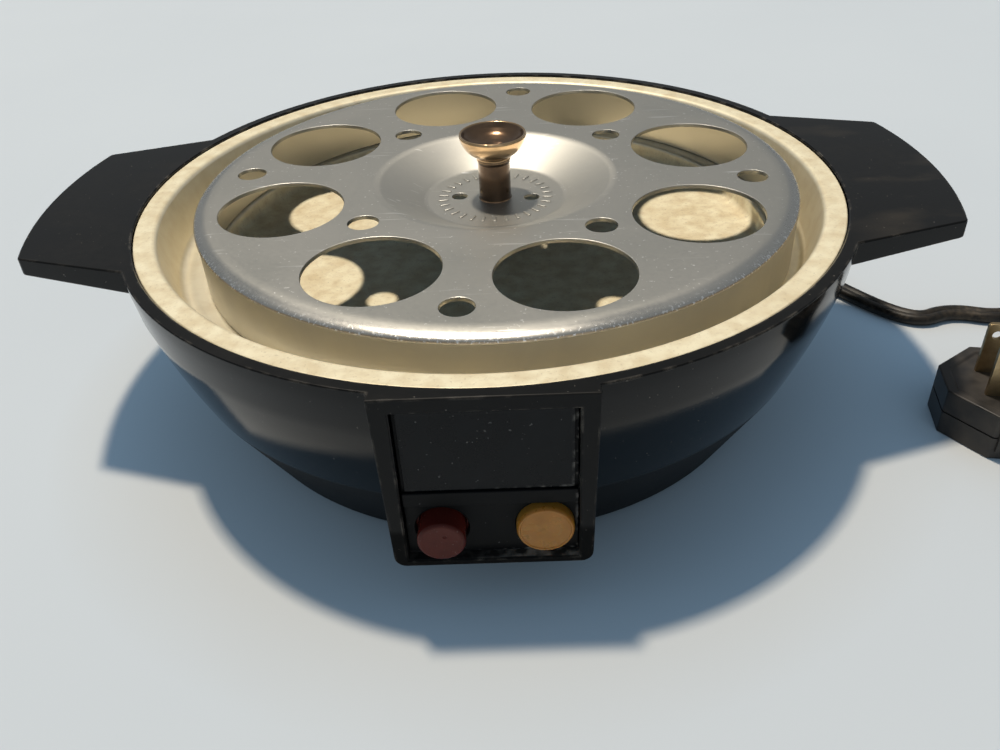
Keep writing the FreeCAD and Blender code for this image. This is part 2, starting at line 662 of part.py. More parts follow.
KNOB = f"({RACK} + knob_rise)"
rack_knob = turned("rack_knob", [
    ("knob_screw_radius + thread_fit", DISH),
    ("knob_stem", DISH),
    ("knob_stem", f"{KNOB} - knob_flare - knob_step"),
    ("knob_neck", f"{KNOB} - knob_flare"),
    ("knob_radius", f"{KNOB} - knob_edge"),
    ("knob_radius", f"{KNOB} - knob_edge / 3"),
    ("knob_radius - knob_edge / 3", KNOB),
    ("knob_radius - knob_edge / 3 - knob_land", KNOB),
    ("knob_radius / 2", f"{KNOB} - knob_dish * 0.75"),
    ("0", f"{KNOB} - knob_dish"),
    ("0", f"{DISH} + knob_screw_bite + 0.5"),
    ("knob_screw_radius + thread_fit", f"{DISH} + knob_screw_bite + 0.5"),
], "rack_shift")
RACK_UNDER = f"({DISH} - rack_sheet)"
knob_washer = cut("knob_washer", rod(
    "washer_disc", "washer_radius", f"{RACK_UNDER} - washer_thick", RACK_UNDER, "rack_shift"), [rod(
        "washer_hole", "knob_screw_radius + thread_fit", f"{RACK_UNDER} - washer_thick - 1",
        f"{RACK_UNDER} + 1", "rack_shift")])
knob_screw = join("knob_screw", [
    rod("knob_screw_shank", "knob_screw_radius", f"{RACK_UNDER} - washer_thick",
        f"{DISH} + knob_screw_bite", "rack_shift"),
    rod("knob_screw_disc", "knob_screw_head", f"{RACK_UNDER} - washer_thick - knob_screw_thick",
        f"{RACK_UNDER} - washer_thick", "rack_shift")])
rack_bore = rod(
    "rack_bore", "knob_screw_radius + thread_fit", f"{DISH} - rack_sheet - 1", f"{DISH} + 1",
    "rack_shift")
egg_rack = cut("egg_rack_bored", egg_rack, [rack_bore])

ELEMENT_Z = f"({UNDER} + element_flat - element_radius)"
CLAMP = f"({ELEMENT_Z} - element_radius + element_flat)"
CLAMP_UNDER = f"({CLAMP} - clamp_thick)"
LEGS = [(f"element_ring * cos(element_open / 2 * {side}1deg)",
         f"element_ring * sin(element_open / 2 * {side}1deg)") for side in ("", "-")]
element_torus = doc.addObject("Part::Torus", "element_torus")
element_torus.setExpression("Radius1", bound("element_ring"))
element_torus.setExpression("Radius2", bound("element_radius"))
element_torus.setExpression("Angle3", bound("360 - element_open"))
element_torus.Placement = FreeCAD.Placement(
    V(), FreeCAD.Rotation(V(0, 0, 1), value("element_open") / 2))
place(element_torus, "0", "0", ELEMENT_Z)
element_ring = common("element_ring_flat", element_torus, block(
    "element_span", ("-element_ring * 2", "element_ring * 2"),
    ("-element_ring * 2", "element_ring * 2"), (CLAMP, UNDER)))
heating_element = join("heating_element", [element_ring] + [
    rod(f"element_leg_{n}", "element_radius", "leg_end", ELEMENT_Z, x, y)
    for n, (x, y) in enumerate(LEGS)])

CLAMP_SPOTS = around("clamp_count", "clamp_ring", -90)
element_clamp = cut("element_clamp", rod("clamp_disc", "clamp_radius", CLAMP_UNDER, CLAMP), [
    rod("clamp_centre", "stud_radius + hole_gap", f"{CLAMP_UNDER} - 1", f"{CLAMP} + 1"),
    rod("clamp_stat", "stat_lower + hole_gap", f"{CLAMP_UNDER} - 1", f"{CLAMP} + 1", "0", "stat_y"),
] + [
    rod(f"clamp_leg_{n}", "element_radius + hole_gap", f"{CLAMP_UNDER} - 1", f"{CLAMP} + 1", x, y)
    for n, (x, y) in enumerate(LEGS)
] + [
    rod(f"clamp_hole_{n}", "clamp_stud + hole_gap", f"{CLAMP_UNDER} - 1", f"{CLAMP} + 1", x, y)
    for n, (x, y) in enumerate(CLAMP_SPOTS)])
clamp_studs = together("clamp_studs", [
    rod(f"clamp_stud_{n}", "clamp_stud", f"{CLAMP_UNDER} - clamp_stud_more", UNDER, x, y)
    for n, (x, y) in enumerate(CLAMP_SPOTS)])


def nut(name, corner, bore, low, high, x="0", y="0"):
    return cut(name, hexagon(name + "_hex", corner, low, high, x, y), [
        rod(name + "_bore", f"{bore} + thread_fit", f"{low} - 1", f"{high} + 1", x, y)])


clamp_nuts = together("clamp_nuts", [
    nut(f"clamp_nut_{n}", "nut_small", "clamp_stud", f"({CLAMP_UNDER} - nut_small_thick)",
        CLAMP_UNDER, x, y) for n, (x, y) in enumerate(CLAMP_SPOTS)])

STAT_LOW = f"({CLAMP_UNDER} - stat_hang)"
thermostat = join("thermostat", [
    rod("stat_upper_body", "stat_radius", CLAMP, UNDER, "0", "stat_y"),
    rod("stat_lower_body", "stat_lower", STAT_LOW, CLAMP, "0", "stat_y"),
] + [
    block(f"stat_tab_{n}", (f"{x} - tab_thick / 2", f"{x} + tab_thick / 2"),
          ("stat_y - tab_tall / 2", "stat_y + tab_tall / 2"),
          (f"{STAT_LOW} - stat_tab_long", STAT_LOW))
    for n, x in enumerate(("stat_tab_side", "-stat_tab_side"))])

SHIELD = "(shield_height + shield_sheet)"
heat_shield = cut("heat_shield", rod("shield_disc", "shield_radius", "shield_height", SHIELD), [
    rod("shield_centre", "stud_radius + hole_gap", "shield_height - 1", f"{SHIELD} + 1"),
    rod("shield_stat", "shield_stat_hole", "shield_height - 1", f"{SHIELD} + 1", "0", "stat_y"),
] + [
    rod(f"shield_leg_{n}", "shield_leg_hole", "shield_height - 1", f"{SHIELD} + 1", x, y)
    for n, (x, y) in enumerate(LEGS)])
shield_spacer = cut("shield_spacer", rod("spacer_rod", "spacer_radius", SHIELD, CLAMP_UNDER), [
    rod("spacer_bore", "stud_radius + hole_gap", f"{SHIELD} - 1", f"{CLAMP_UNDER} + 1")])
shield_nut = nut("shield_nut", "nut_large", "stud_radius", "(shield_height - nut_large_thick)",
                 "shield_height")
pan_stud = rod("pan_stud", "stud_radius", "stud_end", UNDER)

FOOT_SPOTS = around("foot_count", "foot_ring", 45)
SCREW_SPOTS = [(x, "(terminal_front + terminal_back) / 2")
               for x in ("terminal_screw_x", "-terminal_screw_x")]
bottom_cover = cut("bottom_cover", rod("cover_disc", "cover_radius", "foot_tall", COVER), [
    rod("cover_centre", "stud_radius + hole_gap", "foot_tall - 1", f"{COVER} + 1"),
] + [
    rod(f"cover_foot_{n}", "foot_stem + close_fit", "foot_tall - 1", f"{COVER} + 1", x, y)
    for n, (x, y) in enumerate(FOOT_SPOTS)
] + [
    rod(f"cover_screw_{n}", "terminal_screw + hole_gap", "foot_tall - 1", f"{COVER} + 1", x, y)
    for n, (x, y) in enumerate(SCREW_SPOTS)])
cover_washer = cut("cover_washer", rod(
    "cover_washer_disc", "cover_washer_radius", "foot_tall - cover_washer_thick", "foot_tall"), [rod(
        "cover_washer_hole", "stud_radius + hole_gap", "foot_tall - cover_washer_thick - 1",
        "foot_tall + 1")])
cover_nut = nut("cover_nut", "nut_large", "stud_radius",
                "(foot_tall - cover_washer_thick - cover_nut_thick)",
                "(foot_tall - cover_washer_thick)")
feet = together("feet", [turned(f"foot_{n}", [
    ("0", "0"),
    ("foot_pad - 0.6", "0"),
    ("foot_pad", "0.6"),
    ("foot_pad - 0.8", "foot_tall"),
    ("foot_stem", "foot_tall"),
    ("foot_stem", COVER),
    ("foot_barb", COVER),
    ("foot_stem", f"{COVER} + foot_barb_tall"),
    ("0", f"{COVER} + foot_barb_tall"),
], x, y) for n, (x, y) in enumerate(FOOT_SPOTS)])

control_panel = cut("control_panel", join("panel_blank", [
    block("panel_sheet", ("-window_half + panel_gap", "window_half - panel_gap"),
          (f"-{FACE}", f"-{BACK}"), (f"{WINDOW_LOW} + panel_gap", f"{WINDOW_TOP} - panel_gap")),
    block("panel_rib", ("-window_half + panel_gap", "window_half - panel_gap"),
          (f"-{FACE} - rib_proud", f"-{FACE}"),
          ("rim_height - rib_drop - rib_tall", "rim_height - rib_drop")),
] + [
    rod_along(f"panel_post_{n}", "post_radius", f"-{BACK}", f"-{BEHIND}", "0", z)
    for n, z in enumerate(POSTS)
]), [
    rod_along("panel_button_hole", "button_radius + button_ring", f"-{FACE} - 1", f"-{BACK} + 1",
              "button_x", BUTTON_Z),
    rod_along("panel_lens_hole", "lens_radius + close_fit", f"-{FACE} - 1", f"-{BACK} + 1",
              "lens_x", LENS_Z),
] + [
    rod_along(f"panel_post_bore_{n}", "screw_radius + thread_fit", f"-{BEHIND} - screw_bite - 0.3",
              f"-{BEHIND} + 1", "0", z) for n, z in enumerate(POSTS)])
nameplate = block(
    "nameplate", ("-window_half + panel_gap + plate_margin", "window_half - panel_gap - plate_margin"),
    (f"-{FACE} - plate_thick", f"-{FACE}"),
    ("rim_height - rib_drop + plate_margin", f"{WINDOW_TOP} - panel_gap - plate_margin"))

BUTTON_FRONT = f"(-{FACE} - button_proud)"
BUTTON_FLANGE = f"(-{BACK} + button_stop)"
start_button = turned_along("start_button", [
    (f"{BUTTON_FRONT} + button_dish", "0"),
    (f"{BUTTON_FLANGE} + flange_thick", "0"),
    (f"{BUTTON_FLANGE} + flange_thick", "button_flange"),
    (BUTTON_FLANGE, "button_flange"),
    (BUTTON_FLANGE, "button_radius"),
    (f"{BUTTON_FRONT} + button_round", "button_radius", "button_round"),
    (BUTTON_FRONT, "button_radius - button_round"),
], "button_x", BUTTON_Z)
PISTON = "(-switch_front + switch_face + piston_rest)"
switch_plunger = turned_along("switch_plunger", [
    (f"{BUTTON_FLANGE} + flange_thick", "0"),
    (f"{PISTON} + piston_thick", "0"),
    (f"{PISTON} + piston_thick", "piston_radius"),
    (PISTON, "piston_radius"),
    (PISTON, "plunger_radius"),
    (f"{BUTTON_FLANGE} + flange_thick", "plunger_radius"),
], "button_x", BUTTON_Z)
SWITCH_BACK = "(-switch_front + switch_long)"
CHAMBER_END = "(-switch_front + switch_face + chamber_long)"
start_switch = join("start_switch", [cut("switch_case", block(
    "switch_block", ("button_x - switch_half", "button_x + switch_half"),
    ("-switch_front", SWITCH_BACK),
    (f"{BUTTON_Z} - switch_tall / 2", f"{BUTTON_Z} + switch_tall / 2")), [
        rod_along("switch_bore", "plunger_radius + close_fit", "-switch_front - 1",
                  "-switch_front + switch_face + 1", "button_x", BUTTON_Z),
        rod_along("switch_chamber", "chamber_radius", "-switch_front + switch_face",
                  CHAMBER_END, "button_x", BUTTON_Z)])] + [
    block(f"switch_tab_{n}", (f"button_x + {x} - tab_thick / 2", f"button_x + {x} + tab_thick / 2"),
          (SWITCH_BACK, f"{SWITCH_BACK} + tab_long"),
          (f"{BUTTON_Z} - tab_low - tab_tall / 2", f"{BUTTON_Z} - tab_low + tab_tall / 2"))
    for n, x in enumerate(("tab_side", "(-tab_side)"))])
BRACKET_LOW = f"({POSTS[1]} - bracket_margin)"
BRACKET_HIGH = f"({POSTS[0]} + bracket_margin)"
switch_bracket = cut("switch_bracket", join("bracket_blank", [
    block("bracket_plate", ("-bracket_half", "bracket_half"),
          (f"-{BEHIND}", f"-{BEHIND} + bracket_thick"), (BRACKET_LOW, BRACKET_HIGH)),
] + [
    block(f"bracket_ear_{n}", x, (f"-{BEHIND} + bracket_thick", f"{SWITCH_BACK} - 4"),
          (f"{BUTTON_Z} - switch_tall / 2 + 1", f"{BUTTON_Z} + switch_tall / 2 - 1"))
    for n, x in enumerate((
        ("button_x - switch_half - bracket_thick", "button_x - switch_half"),
        ("button_x + switch_half", "button_x + switch_half + bracket_thick")))
]), [
    rod_along("bracket_button_hole", "bracket_hole", f"-{BEHIND} - 1",
              f"-{BEHIND} + bracket_thick", "button_x", BUTTON_Z),
    rod_along("bracket_lamp_hole", "holder_radius + close_fit", f"-{BEHIND} - 1",
              f"-{BEHIND} + bracket_thick + 1", "lens_x", LENS_Z),
] + [
    rod_along(f"bracket_screw_hole_{n}", "screw_radius + hole_gap", f"-{BEHIND} - 1",
              f"-{BEHIND} + bracket_thick + 1", "0", z) for n, z in enumerate(POSTS)])
bracket_screws = together("bracket_screws", [join(f"bracket_screw_{n}", [
    rod_along(f"bracket_shank_{n}", "screw_radius", f"-{BEHIND} - screw_bite",
              f"-{BEHIND} + bracket_thick", "0", z),
    rod_along(f"bracket_head_{n}", "screw_head", f"-{BEHIND} + bracket_thick",
              f"-{BEHIND} + bracket_thick + screw_head_thick", "0", z),
]) for n, z in enumerate(POSTS)])

LENS_BACK = f"(-{BACK} + lens_flange_thick)"
indicator_lens = turned_along("indicator_lens", [
    (f"-{FACE} - lens_proud", "0"),
    (f"-{FACE} - lens_proud + lens_wall", "0"),
    (f"-{FACE} - lens_proud + lens_wall", "lens_radius - lens_wall"),
    (LENS_BACK, "lens_radius - lens_wall"),
    (LENS_BACK, "lens_flange"),
    (f"-{BACK}", "lens_flange"),
    (f"-{BACK}", "lens_radius"),
    (f"-{FACE} - lens_proud + lens_round", "lens_radius", "lens_round"),
    (f"-{FACE} - lens_proud", "lens_radius - lens_round"),
], "lens_x", LENS_Z)
LAMP_BACK = f"({LENS_BACK} + lamp_deep)"
lamp_holder = turned_along("lamp_holder", [
    (LAMP_BACK, "0"),
    (f"{LENS_BACK} + holder_long", "0"),
    (f"{LENS_BACK} + holder_long", "holder_radius"),
    (f"-{BEHIND}", "holder_radius"),
    (f"-{BEHIND}", "lens_flange"),
    (LENS_BACK, "lens_flange"),
    (LENS_BACK, "lamp_radius + close_fit"),
    (LAMP_BACK, "lamp_radius + close_fit"),
], "lens_x", LENS_Z)
lamp = turned_along("lamp", [
    (f"{LAMP_BACK} - lamp_long", "0"),
    (LAMP_BACK, "0"),
    (LAMP_BACK, "lamp_radius"),
    (f"{LAMP_BACK} - lamp_long + lamp_radius / 2", "lamp_radius"),
    (f"{LAMP_BACK} - lamp_long", "lamp_radius / 2"),
], "lens_x", LENS_Z)

TERMINAL_TOP = f"({COVER} + terminal_tall)"
terminal_block = cut("terminal_block", block(
    "terminal_body", ("-terminal_half", "terminal_half"), ("terminal_front", "terminal_back"),
    (COVER, TERMINAL_TOP)), [
        rod(f"terminal_bore_{n}", "terminal_screw + thread_fit", f"{COVER} - 1",
            f"{COVER} + terminal_screw_bite + 0.5", x, y)
        for n, (x, y) in enumerate(SCREW_SPOTS)])
block_screws = together("block_screws", [join(f"block_screw_{n}", [
    rod(f"block_shank_{n}", "terminal_screw", "foot_tall", f"{COVER} + terminal_screw_bite", x, y),
    rod(f"block_head_{n}", "terminal_screw_head", "foot_tall - terminal_screw_thick",
        "foot_tall", x, y),
]) for n, (x, y) in enumerate(SCREW_SPOTS)])
RELIEF_INSIDE = "(relief_inner - relief_flange_thick)"
cord_cores = together("cord_cores", [
    rod_along(f"cord_core_{n}", "wire_radius", "terminal_back", RELIEF_INSIDE, x, "cord_height")
    for n, x in enumerate(("core_side", "-core_side"))])
strain_relief = turned_along("strain_relief", [
    (RELIEF_INSIDE, "0"),
    ("boss_face + relief_long", "0"),
    ("boss_face + relief_long", "relief_end"),
    ("boss_face", "relief_base"),
    ("boss_face", "relief_neck"),
    ("relief_inner", "relief_neck"),
    ("relief_inner", "relief_flange"),
    (RELIEF_INSIDE, "relief_flange"),
], "0", "cord_height")

doc.recompute()


def rounded(points):
    """A path of straight runs joined by tangent arcs, and its arc radii."""
    edges = []
    radii = []
    start = points[0]
    for before, corner, after in zip(points, points[1:], points[2:]):
        run_in = corner - before
        run_out = after - corner
        half = run_in.getAngle(run_out) / 2
        reach = 0.45 * min(run_in.Length, run_out.Length)
        radius = reach / math.tan(half)
        come = V(run_in).normalize()
        leave = V(run_out).normalize()
        inward = (leave - come).normalize()
        first = corner - come * reach
        last = corner + leave * reach
        middle = corner + inward * (radius / math.cos(half) - radius)
        edges.append(Part.LineSegment(start, first).toShape())
        edges.append(Part.Arc(first, middle, last).toShape())
        radii.append(radius)
        start = last
    edges.append(Part.LineSegment(start, points[-1]).toShape())
    return Part.Wire(edges), radii


def swept(path, start, heading, radius):
    ring = Part.Wire(Part.Circle(start, heading, radius).toShape())
    return path.makePipeShell([ring], True, False)


def tube(name, points, radius):
    path, radii = rounded(points)
    shape = swept(path, points[0], points[1] - points[0], radius)
    wanted = math.pi * radius * radius * path.Length
    print(name, "length", round(path.Length, 1), "least radius", round(min(radii), 1),
          "volume ratio", round(shape.Volume / wanted, 4))
    return solid(name, shape)


def arc_from(start, heading, finish):
    chord = finish - start
    along = V(chord).normalize()
    across = heading - along * heading.dot(along)
    if across.Length < 1e-9:
        return Part.LineSegment(start, finish).toShape()
    rise = chord.Length / 2 * math.tan(heading.getAngle(along) / 2)
    return Part.Arc(start, (start + finish) * 0.5 + across.normalize() * rise, finish).toShape()


def biarc(start, heading, finish, arrival):
    gap = finish - start
    total = heading + arrival
    spread = 2 * (1 - heading.dot(arrival))
    lean = gap.dot(total)
    if spread < 1e-9:
        reach = gap.dot(gap) / (2 * lean)
    else:
        reach = (math.sqrt(lean * lean + spread * gap.dot(gap)) - lean) / spread
    joint = (start + finish + (heading - arrival) * reach) * 0.5
    back = arc_from(finish, arrival * -1, joint)
    return [arc_from(start, heading, joint), back]


def wound(name, spot, span, steps, radius, lead=0.0, ends=None):
    """A tube on a winding curve, with straight ends as long as the lead."""
    def heading(at):
        return (spot(at + 1e-5) - spot(at - 1e-5)).normalize()

    times = [span * step / steps for step in range(steps + 1)]
    points = [spot(at) for at in times]
    headings = [heading(at) for at in times]
    if ends:
        headings[0], headings[-1] = ends
    edges = []
    start = points[0]
    if lead:
        start = points[0] - headings[0] * lead
        edges.append(Part.LineSegment(start, points[0]).toShape())
    for index in range(steps):
        edges += biarc(points[index], headings[index], points[index + 1], headings[index + 1])
    if lead:
        edges.append(Part.LineSegment(points[-1], points[-1] + headings[-1] * lead).toShape())
    path = Part.Wire(Part.__sortEdges__(edges))
    shape = swept(path, start, headings[0], radius)
    wanted = math.pi * radius * radius * path.Length
    many = [spot(span * step / 720) for step in range(721)]
    turn = 720 / span
    gap = min(
        (one - other).Length - 2 * radius
        for place_a, one in enumerate(many) for place_b, other in enumerate(many)
        if place_b - place_a > turn / 2)
    print(name, "length", round(path.Length, 1), "least gap", round(gap, 2),
          "volume ratio", round(shape.Volume / wanted, 4))
    return solid(name, shape)


SPRING_START = value(f"{PISTON} + piston_thick + spring_wire / 2")
SPRING_END = value(f"{CHAMBER_END} - spring_wire / 2")


def spring_spot(at):
    turn = 2 * math.pi * at
    share = at / value("spring_turns")
    return V(value("button_x") + value("spring_radius") * math.cos(turn),
             SPRING_START + (SPRING_END - SPRING_START) * share,
             value(BUTTON_Z) + value("spring_radius") * math.sin(turn))


return_spring = wound(
    "return_spring", spring_spot, value("spring_turns"), round(value("spring_turns")) * 4,
    value("spring_wire") / 2)

COIL_X = value("coil_x")
COIL_Y = value("coil_y")
COIL_OUTER = value("coil_outer")
COIL_PITCH = value("coil_pitch")
COIL_REST = value("coil_rest")
COIL_LAYER = value("coil_layer")
CORD = value("cord_radius")
CORD_REST = value("cord_rest")


def coil_spot(at):
    """One turn inwards, half a turn up, one turn outwards."""
    climb = min(max((at - 1) * 2, 0), 1)
    climb = climb * climb * (3 - 2 * climb)
    step = at if at < 1 else (1 if at < 1.5 else 2.5 - at)
    turn = math.radians(90 - 360 * at)
    reach = COIL_OUTER - COIL_PITCH * step
    return V(COIL_X + reach * math.cos(turn), COIL_Y + reach * math.sin(turn),
             COIL_REST + COIL_LAYER * climb)


cord_coil = wound(
    "cord_coil", coil_spot, 2.5, 10, CORD, 2 * CORD, (V(1, 0, 0), V(-1, 0, 0)))
COIL_IN = V(COIL_X - 2 * CORD, COIL_Y + COIL_OUTER, COIL_REST)
COIL_OUT = V(COIL_X - 2 * CORD, COIL_Y - COIL_OUTER, COIL_REST + COIL_LAYER)

EXIT = V(0, value("boss_face + relief_long"), value("cord_height"))
RIM = value("rim_radius")
OUT = value("coil_out")
cord_lead = tube("cord_lead", [
    EXIT,
    EXIT + V(0, 4.5 * CORD, 0),
    V(0.044 * RIM, 1.4 * RIM, 0.75 * EXIT.z),
    V(0.167 * RIM, 1.54 * RIM, 0.37 * EXIT.z),
    V(0.379 * RIM, 1.606 * RIM, CORD_REST),
    V(0.616 * RIM, 1.514 * RIM, CORD_REST),
    V(0.766 * RIM, 1.259 * RIM, CORD_REST),
    V(0.907 * RIM, 0.951 * RIM, CORD_REST),
    V(1.052 * RIM, 0.616 * RIM, CORD_REST),
    V(1.184 * RIM, 0.335 * RIM, CORD_REST),
    V(RIM + 0.273 * OUT, 0.427 * COIL_OUTER, CORD_REST),
    V(RIM + 0.423 * OUT, 0.256 * COIL_OUTER, CORD_REST),
    V(RIM + 0.58 * OUT, 0.366 * COIL_OUTER, CORD_REST),
    V(RIM + 0.73 * OUT, 0.524 * COIL_OUTER, (2 * CORD_REST + COIL_REST) / 3),
    COIL_IN - V(5 * CORD, 0, 0),
    COIL_IN,
], CORD)

PLUG_PLACE = FreeCAD.Placement(
    V(value("plug_x"), value("plug_y"), 0), FreeCAD.Rotation(V(0, 0, 1), value("plug_turn")))
PLUG_AXIS = value("plug_axis")
PLUG_HALF = value("plug_long") / 2
RELIEF_TIP = PLUG_HALF + value("plug_relief_long")
cord_tail = tube("cord_tail", [
    COIL_OUT,
    COIL_OUT - V(4.7 * CORD, 0, 0),
    PLUG_PLACE.multVec(V(RELIEF_TIP + 4.8 * CORD, 0, PLUG_AXIS)),
    PLUG_PLACE.multVec(V(RELIEF_TIP, 0, PLUG_AXIS)),
], CORD)

plug = slab("plug", "XY_Plane", [
    ("-plug_long / 2 + plug_corner", "-plug_wide / 2"),
    ("plug_long / 2 - plug_corner / 2", "-plug_wide / 2"),
    ("plug_long / 2", "-plug_wide / 2 + plug_corner"),
    ("plug_long / 2", "plug_wide / 2 - plug_corner"),
    ("plug_long / 2 - plug_corner / 2", "plug_wide / 2"),
    ("-plug_long / 2 + plug_corner", "plug_wide / 2"),
    ("-plug_long / 2", "plug_wide / 2 - plug_corner"),
    ("-plug_long / 2", "-plug_wide / 2 + plug_corner"),
], "0", "plug_tall")
plug_relief = doc.addObject("Part::Cone", "plug_relief")
plug_relief.setExpression("Radius1", bound("plug_relief_base"))
plug_relief.setExpression("Radius2", bound("plug_relief_end"))
plug_relief.setExpression("Height", bound("plug_relief_long"))
plug_blades = together("plug_blades", [
    block(f"blade_{n}", ("blade_back - blade_wide / 2", "blade_back + blade_wide / 2"),
          (f"{y} - blade_thick / 2", f"{y} + blade_thick / 2"),
          ("plug_tall", "plug_tall + blade_long"))
    for n, y in enumerate(("blade_side", "-blade_side"))])
doc.recompute()
plug.Placement = PLUG_PLACE
plug_blades.Placement = PLUG_PLACE
plug_relief.Placement = PLUG_PLACE.multiply(FreeCAD.Placement(
    V(PLUG_HALF, 0, PLUG_AXIS), FreeCAD.Rotation(V(0, 1, 0), 90)))

TIE_NEAR = "(coil_x + coil_outer - coil_pitch - cord_radius - tie_slack)"
TIE_FAR = "(coil_x + coil_outer - coil_pitch / 4 + cord_radius + tie_gap)"
TIE_LOW = "(coil_rest - cord_radius - tie_gap)"
TIE_HIGH = "(coil_rest + coil_layer + cord_radius + tie_gap)"
TIE_SPAN = ("coil_y - tie_width / 2", "coil_y + tie_width / 2")
cord_tie = cut("cord_tie", block(
    "tie_outer", (f"{TIE_NEAR} - tie_thick", f"{TIE_FAR} + tie_thick"), TIE_SPAN,
    (f"{TIE_LOW} - tie_thick", f"{TIE_HIGH} + tie_thick")), [block(
        "tie_inner", (TIE_NEAR, TIE_FAR), ("coil_y - tie_width", "coil_y + tie_width"),
        (TIE_LOW, TIE_HIGH))])

WIRE = value("wire_radius")
FRONT = value("terminal_front")
SIDE = value("wire_side")
WIRE_Z = value("wire_height")
TAB_Y = value(f"{SWITCH_BACK} + tab_long")
TAB_Z = value(f"{BUTTON_Z} - tab_low")
TAB_LEFT = value("button_x - tab_side")
TAB_RIGHT = value("button_x + tab_side")
STAT_X = value("stat_tab_side")
STAT_Y = value("stat_y")
STAT_Z = value(f"{STAT_LOW} - stat_tab_long")
LEG_X = value(LEGS[0][0])
LEG_Y = value(LEGS[0][1])
LEG_Z = value("leg_end")
RING = value("element_ring")
LOW = value("wire_low")
wire_live = tube("wire_live", [
    V(-SIDE, FRONT, WIRE_Z),
    V(-SIDE, FRONT - LOW, WIRE_Z),
    V(-0.45 * RING, 0.66 * RING, 1.04 * LOW),
    V(-0.69 * RING, 0.24 * RING, LOW),
    V(-0.72 * RING, -0.24 * RING, LOW),
    V(-0.59 * RING, -0.69 * RING, 1.04 * LOW),
    V(-0.38 * RING, -RING, 1.12 * LOW),
    V(TAB_LEFT, TAB_Y + 0.75 * LOW, TAB_Z),
    V(TAB_LEFT, TAB_Y, TAB_Z),
], WIRE)
wire_switched = tube("wire_switched", [
    V(TAB_RIGHT, TAB_Y, TAB_Z),
    V(TAB_RIGHT, TAB_Y + 0.75 * LOW, TAB_Z),
    V(0.03 * RING, -0.98 * RING, 1.08 * LOW),
    V(0.52 * RING, -0.72 * RING, 0.92 * LOW),
    V(0.81 * RING, -0.47 * RING, 0.83 * LOW),
    V(LEG_X, -LEG_Y, 0.87 * LOW),
    V(LEG_X, -LEG_Y, LEG_Z),
], WIRE)
wire_return = tube("wire_return", [
    V(LEG_X, LEG_Y, LEG_Z),
    V(LEG_X, LEG_Y, 0.87 * LOW),
    V(0.83 * RING, 0.43 * RING, 0.83 * LOW),
    V(0.45 * RING, 0.59 * RING, 0.83 * LOW),
    V(STAT_X, STAT_Y, 0.96 * LOW),
    V(STAT_X, STAT_Y, STAT_Z),
], WIRE)
wire_neutral = tube("wire_neutral", [
    V(-STAT_X, STAT_Y, STAT_Z),
    V(-STAT_X, STAT_Y, 0.96 * LOW),
    V(0.4 * SIDE, 0.57 * STAT_Y + 0.43 * FRONT, 0.92 * LOW),
    V(SIDE, FRONT - 0.75 * LOW, WIRE_Z),
    V(SIDE, FRONT, WIRE_Z),
], WIRE)

PARTS = {
    "base_bowl": base_bowl,
    "water_pan": water_pan,
    "rim_seal": rim_seal,
    "egg_rack": egg_rack,
    "rack_knob": rack_knob,
    "knob_washer": knob_washer,
    "knob_screw": knob_screw,
    "heating_element": heating_element,
    "element_clamp": element_clamp,
    "clamp_studs": clamp_studs,
    "clamp_nuts": clamp_nuts,
    "thermostat": thermostat,
    "heat_shield": heat_shield,
    "shield_spacer": shield_spacer,
    "shield_nut": shield_nut,
    "pan_stud": pan_stud,
    "bottom_cover": bottom_cover,
    "cover_washer": cover_washer,
    "cover_nut": cover_nut,
    "feet": feet,
    "control_panel": control_panel,
    "nameplate": nameplate,
    "start_button": start_button,
    "switch_plunger": switch_plunger,
    "return_spring": return_spring,
    "start_switch": start_switch,
    "switch_bracket": switch_bracket,
    "bracket_screws": bracket_screws,
    "indicator_lens": indicator_lens,
    "lamp": lamp,
    "lamp_holder": lamp_holder,
    "terminal_block": terminal_block,
    "block_screws": block_screws,
    "cord_cores": cord_cores,
    "wire_live": wire_live,
    "wire_switched": wire_switched,
    "wire_return": wire_return,
    "wire_neutral": wire_neutral,
    "strain_relief": strain_relief,
    "cord_lead": cord_lead,
    "cord_coil": cord_coil,
    "cord_tail": cord_tail,
    "cord_tie": cord_tie,
    "plug": plug,
    "plug_relief": plug_relief,
    "plug_blades": plug_blades,
}
doc.recompute()
print("rack holes took", round(before_holes - egg_rack.Shape.Volume, 1))
faults = []
for item in doc.Objects:
    if "Invalid" in item.State or "Error" in item.State:
        faults.append((item.Name, list(item.State)))
for name, item in PARTS.items():
    item.Label = name
    if item.Shape.isNull() or not item.Shape.isValid():
        faults.append((name, "shape"))
        continue
    box = item.Shape.BoundBox
    print(f"{name:18s} solids {len(item.Shape.Solids)} volume {item.Shape.Volume:10.1f}",
          f"x {box.XMin:.1f} {box.XMax:.1f} y {box.YMin:.1f} {box.YMax:.1f}",
          f"z {box.ZMin:.1f} {box.ZMax:.1f}")
if faults:
    raise RuntimeError(f"faulty sub-parts: {faults}")
os.makedirs("parts", exist_ok=True)
for name, item in PARTS.items():
    item.Shape.exportStep(f"parts/{name}.step")
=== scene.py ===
import math

import bmesh
import bpy
from bpy.props import FloatProperty, FloatVectorProperty, IntProperty, PointerProperty
from mathutils import Matrix, Vector


